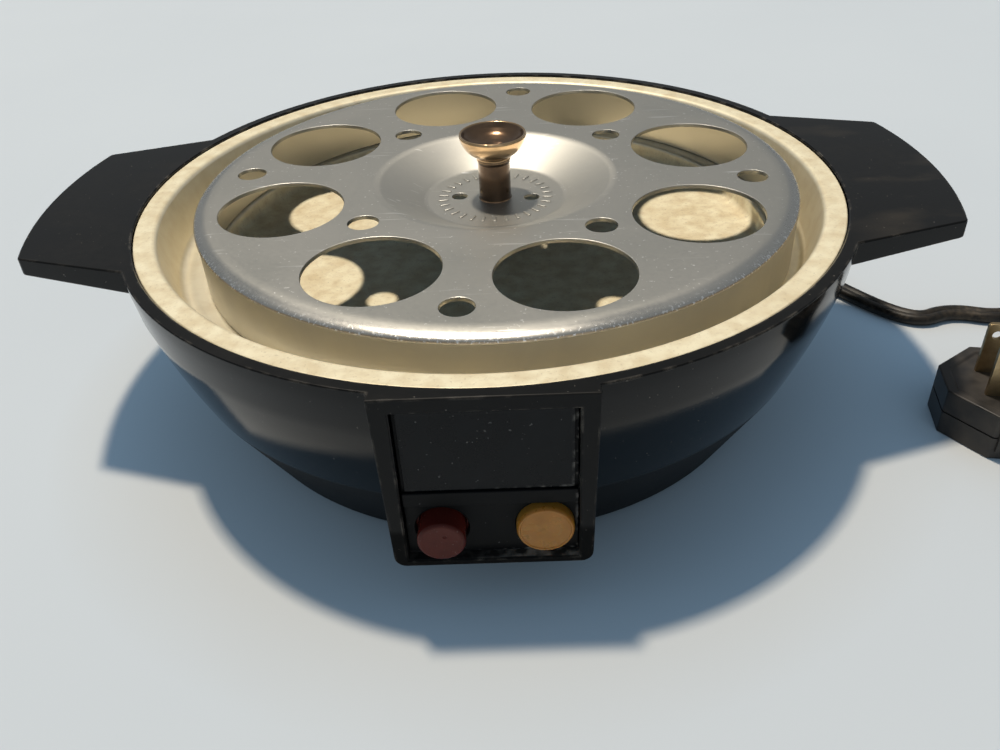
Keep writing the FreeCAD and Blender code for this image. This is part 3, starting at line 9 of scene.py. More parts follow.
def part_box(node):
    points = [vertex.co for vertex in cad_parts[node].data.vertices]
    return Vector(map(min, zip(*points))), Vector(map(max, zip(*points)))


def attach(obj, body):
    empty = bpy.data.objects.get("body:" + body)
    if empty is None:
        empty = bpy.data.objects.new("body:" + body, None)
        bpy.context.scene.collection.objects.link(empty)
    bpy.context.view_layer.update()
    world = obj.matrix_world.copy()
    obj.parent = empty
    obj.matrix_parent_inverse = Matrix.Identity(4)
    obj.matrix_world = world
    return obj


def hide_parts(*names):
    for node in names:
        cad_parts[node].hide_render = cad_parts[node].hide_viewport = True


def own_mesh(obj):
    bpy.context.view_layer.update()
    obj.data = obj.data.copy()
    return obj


bl_info = {
    "name": "Egg cooker",
    "version": (1, 0, 0),
    "blender": (4, 5, 0),
    "location": "3D View > Sidebar > Egg cooker",
    "description": "Dresses the packed solids of an electric egg cooker",
    "category": "Add Mesh",
}

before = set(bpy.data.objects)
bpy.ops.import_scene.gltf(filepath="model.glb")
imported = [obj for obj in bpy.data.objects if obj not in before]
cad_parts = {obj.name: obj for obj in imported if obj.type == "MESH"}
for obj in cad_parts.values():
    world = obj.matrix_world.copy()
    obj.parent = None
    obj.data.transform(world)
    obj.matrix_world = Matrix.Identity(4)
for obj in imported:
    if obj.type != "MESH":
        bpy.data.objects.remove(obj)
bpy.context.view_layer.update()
MM = 0.001
FULL_TURN = 2 * math.pi
# Points nearer than TOUCH are one. HAIR keeps joined faces out of one plane.
TOUCH = 1e-6
HAIR = 0.02 * MM
CORD_EXIT = 18.0 * MM
BOSS_FACE = 103.5 * MM
# Azimuth, elevation and roll in degrees.
CAMERA_ANGLES = (1.74, 35.689, -3.125)
CAMERA_PLACE = (0.0088, -0.2703, 0.1880)
CAMERA_LENS = 32.37
CAMERA_SENSOR = 36.0
# Name, place, width, power and colour.
LAMPS = (
    ("key_lamp", (-0.83, 1.06, 5.83), 0.4, 322.0, (1.0, 0.90, 0.76)),
    ("front_lamp", (0.30, -1.60, 0.40), 1.3, 1.6, (0.92, 0.95, 1.0)))
# The cord's route in millimetres, from the bowl to the coil and from the coil to the plug.
CORD_LEAD = (
    (0, 121, 18), (0, 128.5, 18), (0, 142, 18), (5, 159, 13), (19, 174.9, 5.6), (43.05, 182.4, 2.2),
    (70, 172, 2.2), (87, 143, 2.2), (103, 108, 2.2), (119.5, 70, 2.2), (134.5, 38.06, 2.2),
    (155, 12, 2.2), (170.5, 19.5, 2.2), (187.5, 12.5, 2.2), (209.5, 20.5, 2.4), (226, 23, 3.0),
    (241, 23, 3.0))
CORD_TAIL = (
    (241, -59, 7.6), (226.9, -59, 7.6), (210.6, -53.3, 7.5), (196.4, -50.8, 7.5), (188, -49.3, 7.5))
# Colour, second colour, roughness, metal, patches and grain, as plain_finish takes them.
STEEL = ((0.56, 0.57, 0.58), (0.40, 0.39, 0.37), 0.34, 1.0, 160, 900)
# Slot, finish and nodes of the inner solids, which keep their shape, then their looks.
SOLIDS = (
    ("seal_rubber", "seal_rubber", "rim_seal", (0.35, 0.08, 0.05), (0.22, 0.05, 0.03), 0.6),
    ("steel", "steel", "knob_washer knob_screw element_clamp clamp_studs clamp_nuts shield_spacer shield_nut "
     "pan_stud cover_washer cover_nut switch_bracket bracket_screws block_screws", *STEEL),
    ("sheath", "sheath", "heating_element", (0.30, 0.28, 0.26), (0.16, 0.13, 0.11), 0.45, 0.9, 130),
    ("stat_body", "stat_body", "thermostat", (0.10, 0.045, 0.02), (0.16, 0.08, 0.04), 0.4),
    ("shield_metal", "shield_metal", "heat_shield", (0.72, 0.72, 0.72), (0.55, 0.54, 0.53), 0.3, 1.0, 60),
    ("cover_paint", "cover_paint", "bottom_cover", (0.018, 0.018, 0.019), (0.040, 0.038, 0.036), 0.5, 0.0,
     60, 1200, 0.12),
    ("nylon", "nylon", "switch_plunger lamp_holder", (0.72, 0.70, 0.64), (0.62, 0.59, 0.52), 0.45),
    ("switch_body", "switch_body", "start_switch terminal_block", (0.09, 0.038, 0.018), (0.13, 0.06, 0.03),
     0.42),
    ("lamp_glass", "lamp_glass", "lamp", (0.85, 0.55, 0.32), (0.75, 0.42, 0.22), 0.12),
    ("wire_cover", "wire_cover", "wire_live wire_switched wire_return wire_neutral", (0.66, 0.63, 0.56),
     (0.52, 0.48, 0.41), 0.65, 0.0, 400, 1800, 0.1),
    ("brass", "core_copper", "cord_cores", (0.62, 0.33, 0.18), (0.42, 0.2, 0.1), 0.35, 1.0))

BOWL_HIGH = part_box("base_bowl")[1]
PAN_LOW, PAN_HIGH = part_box("water_pan")
RACK_LOW, RACK_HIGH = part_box("egg_rack")
KNOB_LOW, KNOB_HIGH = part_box("rack_knob")
PANEL_LOW, PANEL_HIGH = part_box("control_panel")
PLATE_LOW, PLATE_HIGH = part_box("nameplate")
BUTTON_LOW, BUTTON_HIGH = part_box("start_button")
LENS_LOW, LENS_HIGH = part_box("indicator_lens")
RELIEF_LOW, RELIEF_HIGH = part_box("strain_relief")


def size(name, description, default):
    return FloatProperty(
        name=name, description=description, default=default, unit="LENGTH", precision=5)


def tint(name, description, default):
    return FloatVectorProperty(
        name=name, description=description, default=default, subtype="COLOR", min=0, max=1)


class BowlSizes(bpy.types.PropertyGroup):
    rim_height: size("Rim height", "Top of the rim above the table", BOWL_HIGH.z)
    rim_radius: size("Rim radius", "Outer radius of the rim", BOWL_HIGH.y)
    rim_step: size("Rim step", "Rim band proud of the wall", 1.3 * MM)
    rim_band: size("Rim band", "Height of the rim band", 3.4 * MM)
    seat_radius: size("Seat radius", "Pocket round the pan's flange", 109.9 * MM)
    shoulder: size("Shoulder", "Top of the curved side above the table", 58.0 * MM)
    crease_height: size("Crease height", "Crease above the table", 28.3 * MM)
    crease_radius: size("Crease radius", "Radius at the crease", 102.8 * MM)
    side_curve: size("Side curve", "Radius of the side in section", 240 * MM)
    foot_radius: size("Foot radius", "Radius of the lower edge", 88.5 * MM)
    wall: size("Wall", "Moulded wall thickness", 3.2 * MM)
    edge: size("Edge rounding", "Rounding of the moulded edges", 0.5 * MM)
    handle_x: size("Handle corner, across", "Outer corner of a handle", 136.2 * MM)
    handle_y: size("Handle corner, along", "Outer corner of a handle", 39.3 * MM)
    handle_tip: size("Handle tip", "Thickness at the outer edge", 5.3 * MM)
    handle_root: size("Handle root", "Thickness at the wall", 7.6 * MM)
    handle_round: size("Handle rounding", "Rounding of the outer corners", 1.1 * MM)
    box_front: size("Box front", "Front of the control box from the middle", 113.65 * MM)
    box_half_top: size("Box half width, top", "Half width of the control box", 26.25 * MM)
    box_half_low: size("Box half width, low", "Half width of the control box", 25.0 * MM)
    box_low: size("Box bottom", "Bottom of the control box above the table", 16.7 * MM)
    box_corner: size("Box corner", "Rounding of the lower corners", 3.0 * MM)
    window_half: size("Window half width", "Half width of the panel opening", 21.5 * MM)
    window_low: size("Window bottom", "Lower edge of the panel opening", 18.8 * MM)
    window_high: size("Window top", "Upper edge of the panel opening", 65.4 * MM)


class PanSizes(bpy.types.PropertyGroup):
    flange_height: size("Flange height", "Top of the flange above the table", PAN_HIGH.z)
    flange_radius: size("Flange radius", "Outer radius of the flange", PAN_HIGH.x)
    mouth: size("Mouth", "Radius inside the flange", 103.1 * MM)
    ledge_height: size("Ledge height", "Ledge under the rack above the table", RACK_LOW.z)
    ledge_radius: size("Ledge radius", "Outer radius of the ledge", 99.4 * MM)
    well_radius: size("Well radius", "Mouth of the water well", 89.6 * MM)
    floor_radius: size("Floor radius", "Radius of the well's floor", 88.4 * MM)
    floor_height: size("Floor height", "Well's floor above the table", PAN_LOW.z + 1.2 * MM)
    sheet: size("Sheet", "Sheet thickness", 1.2 * MM)


class RackSizes(bpy.types.PropertyGroup):
    top: size("Rack top", "Top of the rack above the table", RACK_HIGH.z)
    foot: size("Rack foot", "Lower edge of the skirt", RACK_LOW.z)
    radius: size("Rack radius", "Outer radius", RACK_HIGH.y)
    middle: size("Rack middle", "Middle of the rack, across", (RACK_LOW.x + RACK_HIGH.x) / 2)
    edge: size("Edge rounding", "Width of the rack's crowned edge", 6.5 * MM)
    lip: size("Lip", "Height of the crowned edge", 2.2 * MM)
    sheet: size("Sheet", "Sheet thickness", 1.2 * MM)
    egg_ring: size("Egg ring", "Ring of the egg holes", 67.5 * MM)
    egg_hole: size("Egg hole", "Radius of an egg hole", 19.0 * MM)
    egg_count: IntProperty(name="Eggs", description="Number of egg holes", default=8)
    steam_hole: size("Steam hole", "Radius of a steam hole", 4.6 * MM)
    steam_inner: size("Inner steam ring", "Ring of the inner steam holes", 49.1 * MM)
    steam_outer: size("Outer steam ring", "Ring of the outer steam holes", 80.4 * MM)
    drain_hole: size("Drain hole", "Radius of a drain hole", 2.45 * MM)
    drain_ring: size("Drain ring", "Drain holes from the middle", 11.7 * MM)
    dish_mouth: size("Dish mouth", "Radius of the dish at the top", 37.6 * MM)
    dish_floor: size("Dish floor", "Radius of the dish's floor", 22.6 * MM)
    dish_depth: size("Dish depth", "Depth of the dish", 7.4 * MM)
    tick_ring: size("Tick ring", "Ring of the pressed ticks", 16.9 * MM)
    tick_count: IntProperty(name="Ticks", description="Number of pressed ticks", default=30)
    knob_top: size("Knob top", "Top of the knob above the table", KNOB_HIGH.z)
    knob_foot: size("Knob foot", "Lower end of the knob", KNOB_LOW.z)
    knob_radius: size("Knob radius", "Head of the knob", 10.6 * MM)
    knob_stem: size("Knob stem", "Stem of the knob", 5.1 * MM)
    turn: FloatProperty(
        name="Turn", description="Turn of the rack as it lies", subtype="ANGLE",
        default=math.radians(-6.44))


class PanelSizes(bpy.types.PropertyGroup):
    face: size("Panel face", "Panel face from the middle", -111.0 * MM)
    back: size("Panel back", "Panel back from the middle", -108.8 * MM)
    half: size("Panel half width", "Half width of the panel", PANEL_HIGH.x)
    low: size("Panel bottom", "Lower edge of the panel", PANEL_LOW.z)
    high: size("Panel top", "Upper edge of the panel", PANEL_HIGH.z)
    rib_low: size("Rib bottom", "Lower edge of the rib", 35.8 * MM)
    rib_high: size("Rib top", "Upper edge of the rib", 40.1 * MM)
    rib_proud: size("Rib proud", "Rib in front of the panel", 1.2 * MM)
    button_x: size("Button, across", "Middle of the button", (BUTTON_LOW.x + BUTTON_HIGH.x) / 2)
    button_z: size("Button height", "Middle of the button", (BUTTON_LOW.z + BUTTON_HIGH.z) / 2)
    button_front: size("Button front", "Face of the button", BUTTON_LOW.y)
    button_radius: size("Button radius", "Radius of the button", 6.05 * MM)
    lens_x: size("Lens, across", "Middle of the lens", (LENS_LOW.x + LENS_HIGH.x) / 2)
    lens_z: size("Lens height", "Middle of the lens", (LENS_LOW.z + LENS_HIGH.z) / 2)
    lens_front: size("Lens front", "Face of the lens", LENS_LOW.y)
    lens_radius: size("Lens radius", "Radius of the lens", 7.2 * MM)


class CordSizes(bpy.types.PropertyGroup):
    width: size("Cord width", "Width of the flat twin cord", 7.2 * MM)
    height: size("Cord height", "Height of the flat twin cord", 4.2 * MM)
    length: size("Cord length", "Length of the cord", 1.0)
    exit_height: size("Exit height", "Cord exit above the table", CORD_EXIT)
    boss_face: size("Boss face", "Face of the cord boss", BOSS_FACE)
    relief_end: size("Relief end", "End of the strain relief", RELIEF_HIGH.y)
    coil_x: size("Coil, across", "Middle of the coil", 247.0 * MM)
    coil_y: size("Coil, along", "Middle of the coil", -18.0 * MM)
    coil_reach: size("Coil reach", "Outer turn of the coil", 41.0 * MM)
    coil_pitch: size("Coil pitch", "Step from turn to turn", 8.0 * MM)
    plug_x: size("Plug, across", "Middle of the plug", 158.0 * MM)
    plug_y: size("Plug, along", "Middle of the plug", -44.0 * MM)
    plug_turn: FloatProperty(
        name="Plug turn", description="Turn of the plug as it lies", subtype="ANGLE",
        default=math.radians(-10))


class CookerColours(bpy.types.PropertyGroup):
    bowl: tint("Bowl", "Moulded bowl", (0.0045, 0.0047, 0.0048))
    bowl_dust: tint("Bowl dust", "Dust on the bowl", (0.065, 0.060, 0.054))
    pan: tint("Pan", "Pan metal", (0.95, 0.87, 0.67))
    pan_scale: tint("Pan scale", "Dried scale in the pan", (0.98, 0.905, 0.67))
    rack: tint("Rack", "Rack metal", (0.56, 0.55, 0.505))
    knob: tint("Knob", "Knob", (0.60, 0.41, 0.225))
    panel: tint("Panel", "Control panel", (0.0048, 0.0052, 0.0056))
    plate: tint("Plate", "Plate in the panel", (0.0045, 0.0055, 0.0066))
    button: tint("Button", "Start button", (0.135, 0.020, 0.014))
    lens: tint("Lens", "Pilot lens", (0.62, 0.30, 0.045))
    cord: tint("Cord", "Cord cover", (0.008, 0.0075, 0.007))
    floor: tint("Floor", "Floor of the stage", (0.56, 0.56, 0.535))


def mm(*points):
    """Points in millimetres, made metres."""
    return [tuple(part * MM for part in point) for point in points]


def clear():
    if bpy.context.mode != "OBJECT":
        bpy.ops.object.mode_set(mode="OBJECT")
    bpy.ops.object.select_all(action="DESELECT")


def only(piece):
    clear()
    piece.select_set(True)
    bpy.context.view_layer.objects.active = piece


def opened(piece):
    """Puts one piece under edit."""
    only(piece)
    bpy.ops.object.mode_set(mode="EDIT")
    return piece


def shut():
    """Ends the edit and gives the piece."""
    bpy.ops.object.mode_set(mode="OBJECT")
    return bpy.context.object


def pick_all():
    bpy.ops.mesh.select_all(action="SELECT")


def shut_outward():
    """Turns all the faces outwards and ends the edit."""
    pick_all()
    bpy.ops.mesh.normals_make_consistent(inside=False)
    return shut()


def extrude(way):
    bpy.ops.mesh.extrude_region_move(TRANSFORM_OT_translate={"value": way})


def pick(piece, kind, test):
    """Selects what passes a test on the piece under edit."""
    bpy.ops.mesh.select_mode(type=kind)
    bpy.ops.mesh.select_all(action="DESELECT")
    work = bmesh.from_edit_mesh(piece.data)
    for item in {"VERT": work.verts, "EDGE": work.edges, "FACE": work.faces}[kind]:
        if test(item):
            item.select_set(True)
    bmesh.update_edit_mesh(piece.data)


def traced(points):
    """A new piece under edit: one line through the points."""
    clear()
    bpy.ops.mesh.primitive_plane_add(size=MM, location=(0, 0, 0))
    bpy.ops.object.mode_set(mode="EDIT")
    bpy.ops.mesh.select_mode(type="VERT")
    pick_all()
    bpy.ops.mesh.merge(type="CENTER")
    spots = [Vector(point) for point in points]
    bpy.ops.transform.translate(value=spots[0])
    for before, after in zip(spots, spots[1:]):
        bpy.ops.mesh.extrude_vertices_move(TRANSFORM_OT_translate={"value": after - before})
    return bpy.context.object


def closed(piece):
    """Joins the two ends of the line under edit."""
    pick(piece, "VERT", lambda corner: len(corner.link_edges) < 2)
    bpy.ops.mesh.edge_face_add()
    return piece


def rounded(piece, spot, reach, segments=4):
    """Rounds the corner at a spot of the line under edit."""
    pick(piece, "VERT", lambda corner: (corner.co - spot).length < TOUCH)
    bpy.ops.mesh.bevel(offset=reach, segments=segments, affect="VERTICES")


def arc(start, finish, radius, count):
    """Points after the start along an arc that bulges to the right of its way."""
    start, finish = Vector(start), Vector(finish)
    chord = finish - start
    side = Vector((chord.y, -chord.x)).normalized()
    depth = math.sqrt(radius * radius - chord.length_squared / 4)
    middle = (start + finish) / 2 - side * depth
    first = start - middle
    sweep = first.angle_signed(finish - middle)
    return [
        tuple(middle + Matrix.Rotation(-sweep * step / count, 2) @ first)
        for step in range(1, count + 1)]


def turned(profile, steps, axis="Z"):
    """A turned piece from (radius, height) or (radius, height, rounding)."""
    upright = axis == "Z"
    spots = [
        Vector((corner[0], 0, corner[1]) if upright else (corner[0], corner[1], 0))
        for corner in profile]
    piece = traced(spots)
    for spot, corner in zip(spots, profile):
        if len(corner) > 2:
            rounded(piece, spot, corner[2])
    pick_all()
    bpy.ops.mesh.spin(
        steps=steps, angle=FULL_TURN, center=(0, 0, 0), axis=(0, 0, 1) if upright else (0, 1, 0))
    pick_all()
    bpy.ops.mesh.remove_doubles(threshold=TOUCH)
    return shut_outward()


def slab(outline, depth):
    """A piece extruded from a closed outline by a depth vector."""
    closed(traced(outline))
    return filled(depth)


def filled(depth):
    """The closed line under edit, filled and extruded by a depth vector."""
    pick_all()
    bpy.ops.mesh.edge_face_add()
    extrude(depth)
    return shut_outward()


def block(low, high):
    clear()
    low, high = Vector(low), Vector(high)
    bpy.ops.mesh.primitive_cube_add(size=1, location=(low + high) / 2, scale=high - low)
    bpy.ops.object.transform_apply(location=True, rotation=True, scale=True)
    return bpy.context.object


def moved(piece, place=(0, 0, 0), turn=(0, 0, 0)):
    only(piece)
    piece.location = place
    piece.rotation_euler = turn
    bpy.ops.object.transform_apply(location=True, rotation=True, scale=True)
    return piece


def copied(piece, place):
    twin = piece.copy()
    twin.data = piece.data.copy()
    bpy.context.scene.collection.objects.link(twin)
    return moved(twin, place)


def merged(pieces):
    only(pieces[0])
    for other in pieces[1:]:
        other.select_set(True)
    bpy.ops.object.join()
    return pieces[0]


def modified(piece, kind, **settings):
    only(piece)
    bpy.ops.object.modifier_add(type=kind)
    change = piece.modifiers[-1]
    for name, value in settings.items():
        setattr(change, name, value)
    bpy.ops.object.modifier_apply(modifier=change.name)
    return piece


def softened(piece, width, segments=3, angle=30):
    """Rounds the edges that are sharper than an angle."""
    return modified(
        piece, "BEVEL", width=width, segments=segments, limit_method="ANGLE",
        angle_limit=math.radians(angle))


def combined(piece, operation, tools):
    for tool in tools:
        modified(piece, "BOOLEAN", operation=operation, object=tool, solver="EXACT")
        bpy.data.objects.remove(tool)
    return piece


def tidied(piece):
    """Merges what a cut leaves doubled and drops what it leaves flat."""
    opened(piece)
    pick_all()
    bpy.ops.mesh.remove_doubles(threshold=2 * TOUCH)
    bpy.ops.mesh.dissolve_degenerate(threshold=TOUCH)
    return shut()


def dressed(piece, name, body, nodes, finish, angle=35):
    """A finished piece: named, shaded, riding and standing for its nodes."""
    only(piece)
    bpy.ops.object.shade_smooth_by_angle(angle=math.radians(angle))
    modified(piece, "WEIGHTED_NORMAL", keep_sharp=True, weight=90)
    piece.name = name
    piece.data.name = name
    piece.data.materials.clear()
    piece.data.materials.append(finish)
    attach(piece, body)
    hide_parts(*nodes)
    return piece


class Nodes:
    """Short ways to add nodes to a tree."""

    def __init__(self, tree):
        self.tree = tree

    def add(self, kind, inputs, **settings):
        made = self.tree.nodes.new(kind)
        for name, value in settings.items():
            setattr(made, name, value)
        for socket, value in inputs.items():
            if isinstance(value, bpy.types.NodeSocket):
                self.tree.links.new(value, made.inputs[socket])
            else:
                made.inputs[socket].default_value = value
        return made

    def source(self, kind, output):
        return self.add("ShaderNode" + kind, {}).outputs[output]

    def band(self, value, low, high, bottom=0.0, top=1.0):
        """Goes from bottom to top as the value goes from low to high."""
        return self.add("ShaderNodeMapRange", {
            "Value": value, "From Min": low, "From Max": high, "To Min": bottom,
            "To Max": top}).outputs["Result"]

    def chain(self, operation, first, *others):
        for other in others:
            first = self.add("ShaderNodeMath", {0: first, 1: other}, operation=operation).outputs[0]
        return first

    def times(self, *values):
        return self.chain("MULTIPLY", *values)

    def plus(self, *values):
        return self.chain("ADD", *values)

    def most(self, *values):
        return self.chain("MAXIMUM", *values)

    def mix(self, share, one, other):
        one, other = (
            value if isinstance(value, bpy.types.NodeSocket) else (*value[:3], 1)
            for value in (one, other))
        return self.add(
            "ShaderNodeMix", {0: share, 6: one, 7: other}, data_type="RGBA").outputs[2]

    def fade(self, value, low, high, one, other, most=1.0):
        """Goes from one colour towards the other as the value goes from low to high."""
        return self.mix(self.band(value, low, high, 0, most), one, other)

    def part(self, axis, vector):
        return self.add("ShaderNodeSeparateXYZ", {0: vector}).outputs[axis]

    def seen(self):
        """What the camera and mirrors see, and what mirrors see alone."""
        path = self.add("ShaderNodeLightPath", {}).outputs
        mirrored = path["Is Glossy Ray"]
        return self.most(mirrored, path["Is Transmission Ray"], path["Is Camera Ray"]), mirrored


class Finish(Nodes):
    """A material in the making."""

    def __init__(self, name, **constants):
        self.material = bpy.data.materials.new(name)
        self.material.use_nodes = True
        super().__init__(self.material.node_tree)
        self.shader = self.tree.nodes["Principled BSDF"]
        self.place = self.source("TexCoord", "Object")
        for socket, value in constants.items():
            self.shader.inputs[socket.replace("_", " ")].default_value = value

    def part(self, axis, vector=None):
        return super().part(axis, vector or self.place)

    def link(self, socket, value):
        self.tree.links.new(value, self.shader.inputs[socket])

    def done(self, colour, gloss, relief, strength, depth):
        """Links what the finishes share and gives the material."""
        self.link("Base Color", colour)
        self.link("Roughness", gloss)
        self.link("Normal", self.add("ShaderNodeBump", {
            "Height": relief, "Strength": strength, "Distance": depth * MM}).outputs[0])
        return self.material

    def mapped(self, stretch, turn):
        return self.add("ShaderNodeMapping", {
            "Vector": self.place, "Scale": stretch, "Rotation": (0, 0, turn)}).outputs[0]

    def noise(self, scale, detail=3.0, vector=None, warp=0.0):
        return self.add("ShaderNodeTexNoise", {
            "Vector": vector or self.place, "Scale": scale, "Detail": detail,
            "Distortion": warp}).outputs["Fac"]

    def rings(self, scale, detail=2.0, **lengths):
        """Turning marks that follow the lengths given as X or Z."""
        spot = self.add("ShaderNodeCombineXYZ", {
            axis: self.times(length, scale) for axis, length in lengths.items()}).outputs[0]
        return self.noise(1, detail, spot)

    def vector(self, operation, one, other, output=0):
        return self.add("ShaderNodeVectorMath", {0: one, 1: other}, operation=operation).outputs[output]

    def radius(self, middle=0.0):
        """Distance from an upright axis, which may stand off across."""
        offset = self.vector("SUBTRACT", self.place, (middle, 0, 0))
        flat = self.vector("MULTIPLY", offset, (1, 1, 0))
        return self.vector("LENGTH", flat, (0, 0, 0), "Value")

    def normal(self):
        return self.source("NewGeometry", "Normal")

    def upward(self):
        return self.part("Z", self.normal())

    def edges(self, reach):
        soft = self.add("ShaderNodeBevel", {"Radius": reach}, samples=6).outputs[0]
        return self.band(self.vector("DOT_PRODUCT", soft, self.normal(), "Value"), 0.995, 0.93)

    def specks(self, scale, share):
        """Small scattered spots; a smaller share leaves fewer."""
        return self.band(self.noise(scale, 1.0), 1.0 - share, 1.03 - share)

    def scratches(self, scale, length, turn, share):
        lines = self.noise(scale, 2.0, self.mapped((length, 1, 1), turn), 0.4)
        broken = self.noise(scale * 0.13, 2.0)
        return self.times(self.band(lines, share, share + 0.03), self.band(broken, 0.46, 0.6))


def plain_finish(name, colour, other, roughness, metallic=0.0, scale=90, grain=700, depth=0.05):
    """A worked finish for the smaller pieces: mottled colour, uneven gloss, fine grain."""
    finish = Finish(name, Metallic=metallic)
    patches = finish.noise(scale, 5)
    return finish.done(
        finish.fade(patches, 0.35, 0.7, colour, other),
        finish.band(patches, 0.3, 0.7, roughness * 0.85, roughness * 1.15),
        finish.noise(grain, 3), 0.25, depth)


def bowl_finish(colours):
    finish = Finish("black_phenolic", Specular_IOR_Level=0.21)
    across, along, height = (finish.part(axis) for axis in "XYZ")
    up = finish.band(finish.upward(), 0.75, 0.97)
    patches = finish.noise(38, 6, warp=0.6)
    dust = finish.times(
        finish.band(patches, 0.42, 0.74), finish.band(finish.noise(420, 4), 0.3, 0.75),
        finish.band(up, 0, 1, 0.02, 0.10))
    colour = finish.mix(dust, colours.bowl, colours.bowl_dust)
    sill = finish.times(
        up, finish.band(height, 20.5 * MM, 19.3 * MM), finish.band(along, -100 * MM, -106 * MM),
        finish.band(finish.noise(300, 5), 0.42, 0.62, 0.05, 0.6),
        finish.band(across, -6 * MM, 8 * MM, 0.15, 1))
    colour = finish.mix(sill, colour, (0.52, 0.47, 0.40))
    wear = finish.times(finish.edges(0.9 * MM), finish.band(finish.noise(210, 4), 0.50, 0.66), 0.42)
    colour = finish.mix(wear, colour, (0.34, 0.31, 0.27))
    nicks = finish.specks(1150, 0.235)
    colour = finish.mix(finish.times(nicks, 0.35), colour, (0.40, 0.37, 0.33))
    smudges = finish.times(
        finish.band(finish.noise(55, 5, finish.mapped((0.45, 1, 1), 0.3)), 0.56, 0.74), up,
        finish.band(across, 100 * MM, 118 * MM, 0.15, 1), 0.10)
    colour = finish.mix(smudges, colour, (0.26, 0.21, 0.15))
    gloss = finish.plus(
        finish.band(up, 0, 1, 0.09, 0.32), finish.band(along, -113.2 * MM, -113.5 * MM, 0, 0.5),
        finish.band(height, 29.5 * MM, 27.5 * MM, 0, 0.5), finish.band(patches, 0.3, 0.75, -0.02, 0.06))
    relief = finish.plus(
        finish.times(finish.noise(1500, 2), finish.band(up, 0, 1, 0.15, 1)), finish.times(nicks, -0.8))
    return finish.done(colour, gloss, relief, 0.22, 0.05)


def pan_finish(colours):
    finish = Finish("pan_metal", Specular_IOR_Level=0.12)
    height = finish.part("Z")
    worn = finish.most(
        finish.band(height, 53.2 * MM, 51.5 * MM), finish.band(height, 68.2 * MM, 69.0 * MM, 0, 0.75))
    patches = finish.noise(190, 3, warp=0.2)
    flecks = finish.noise(520, 4)
    speckle = finish.noise(1300, 3)
    rings = finish.rings(900, X=finish.radius(), Z=height)
    colour = finish.fade(patches, 0.4, 0.7, colours.pan, (0.80, 0.69, 0.49), 0.5)
    scale = finish.fade(patches, 0.34, 0.68, colours.pan_scale, (0.77, 0.65, 0.43), 0.9)
    scale = finish.fade(flecks, 0.50, 0.75, scale, (0.50, 0.37, 0.22), 0.25)
    colour = finish.mix(worn, colour, scale)
    pits = finish.times(finish.band(speckle, 0.60, 0.70), worn, 0.30)
    colour = finish.mix(pits, colour, (0.30, 0.23, 0.15))
    finish.link("Metallic", finish.band(worn, 0, 1, 0.58, 0.02))
    gloss = finish.plus(finish.band(rings, 0.3, 0.7, 0.30, 0.42), finish.times(worn, 0.14))
    relief = finish.plus(rings, finish.times(speckle, worn))
    return finish.done(colour, gloss, relief, 0.18, 0.04)


def rack_finish(colours, sizes):
    finish = Finish("rack_metal", Metallic=1.0)
    upward = finish.upward()
    reach = finish.radius(sizes.middle)
    patches = finish.noise(30, 6, warp=0.7)
    fine = finish.noise(1100, 3)
    scratch = finish.most(
        finish.scratches(430, 0.06, 0.4, 0.69), finish.scratches(380, 0.05, -0.9, 0.70),
        finish.scratches(500, 0.07, 1.7, 0.70))
    nicks = finish.times(finish.specks(1000, 0.28), finish.band(upward, 0.9, 0.995))
    marks = finish.most(finish.times(scratch, finish.band(upward, 0.3, 0.6)), nicks)
    colour = finish.fade(patches, 0.35, 0.7, colours.rack, (0.40, 0.40, 0.39), 0.6)
    colour = finish.mix(finish.times(marks, 0.6), colour, (0.92, 0.92, 0.90))
    # Painted highlight and reflection: the crowned rim is painted paler than the face, and warm tan where it
    # turns down, as painted reflection of the pan below.
    rim = finish.times(
        finish.band(reach, sizes.radius - 4.0 * MM, sizes.radius - 2.5 * MM),
        finish.band(upward, 0.1, 0.4))
    # White specks on the rim: pits in the bump, and painted glints in the colour.
    pits = finish.times(rim, finish.specks(1300, 0.40), finish.band(upward, 0.97, 0.85))
    edge = finish.fade(upward, 0.72, 0.5, (0.60, 0.585, 0.545), (0.54, 0.42, 0.28))
    colour = finish.mix(rim, colour, edge)
    colour = finish.mix(pits, colour, (0.96, 0.95, 0.92))
    # Painted reflected light: the skirt's inner face is painted pale cream for the light thrown up from the
    # pan floor.
    inside = finish.times(
        finish.band(reach, sizes.radius - 0.7 * MM, sizes.radius - 0.8 * MM),
        finish.band(finish.part("Z"), 70.6 * MM, 69.6 * MM), finish.band(reach, 40 * MM, 41 * MM))
    colour = finish.mix(inside, colour, (0.84, 0.80, 0.70))
    # Painted shade: faces turned down are painted near black.
    colour = finish.fade(upward, -0.2, -0.8, colour, (0.030, 0.027, 0.023))
    cone = finish.times(finish.band(reach, 22 * MM, 24 * MM), finish.band(reach, 39 * MM, 37 * MM))
    gloss = finish.plus(
        finish.band(finish.plus(patches, finish.times(fine, 0.4)), 0.4, 1.0, 0.36, 0.48),
        finish.times(cone, 0.10), finish.times(rim, -0.13), finish.band(upward, 0.3, 0.1, 0, -0.02))
    relief = finish.plus(
        finish.times(finish.rings(1400, X=reach), 0.35),
        finish.times(fine, finish.band(upward, 0.2, 0.6, 0.05, 0.5)),
        finish.times(finish.most(marks, pits), -1))
    return finish.done(colour, gloss, relief, 0.22, 0.04)


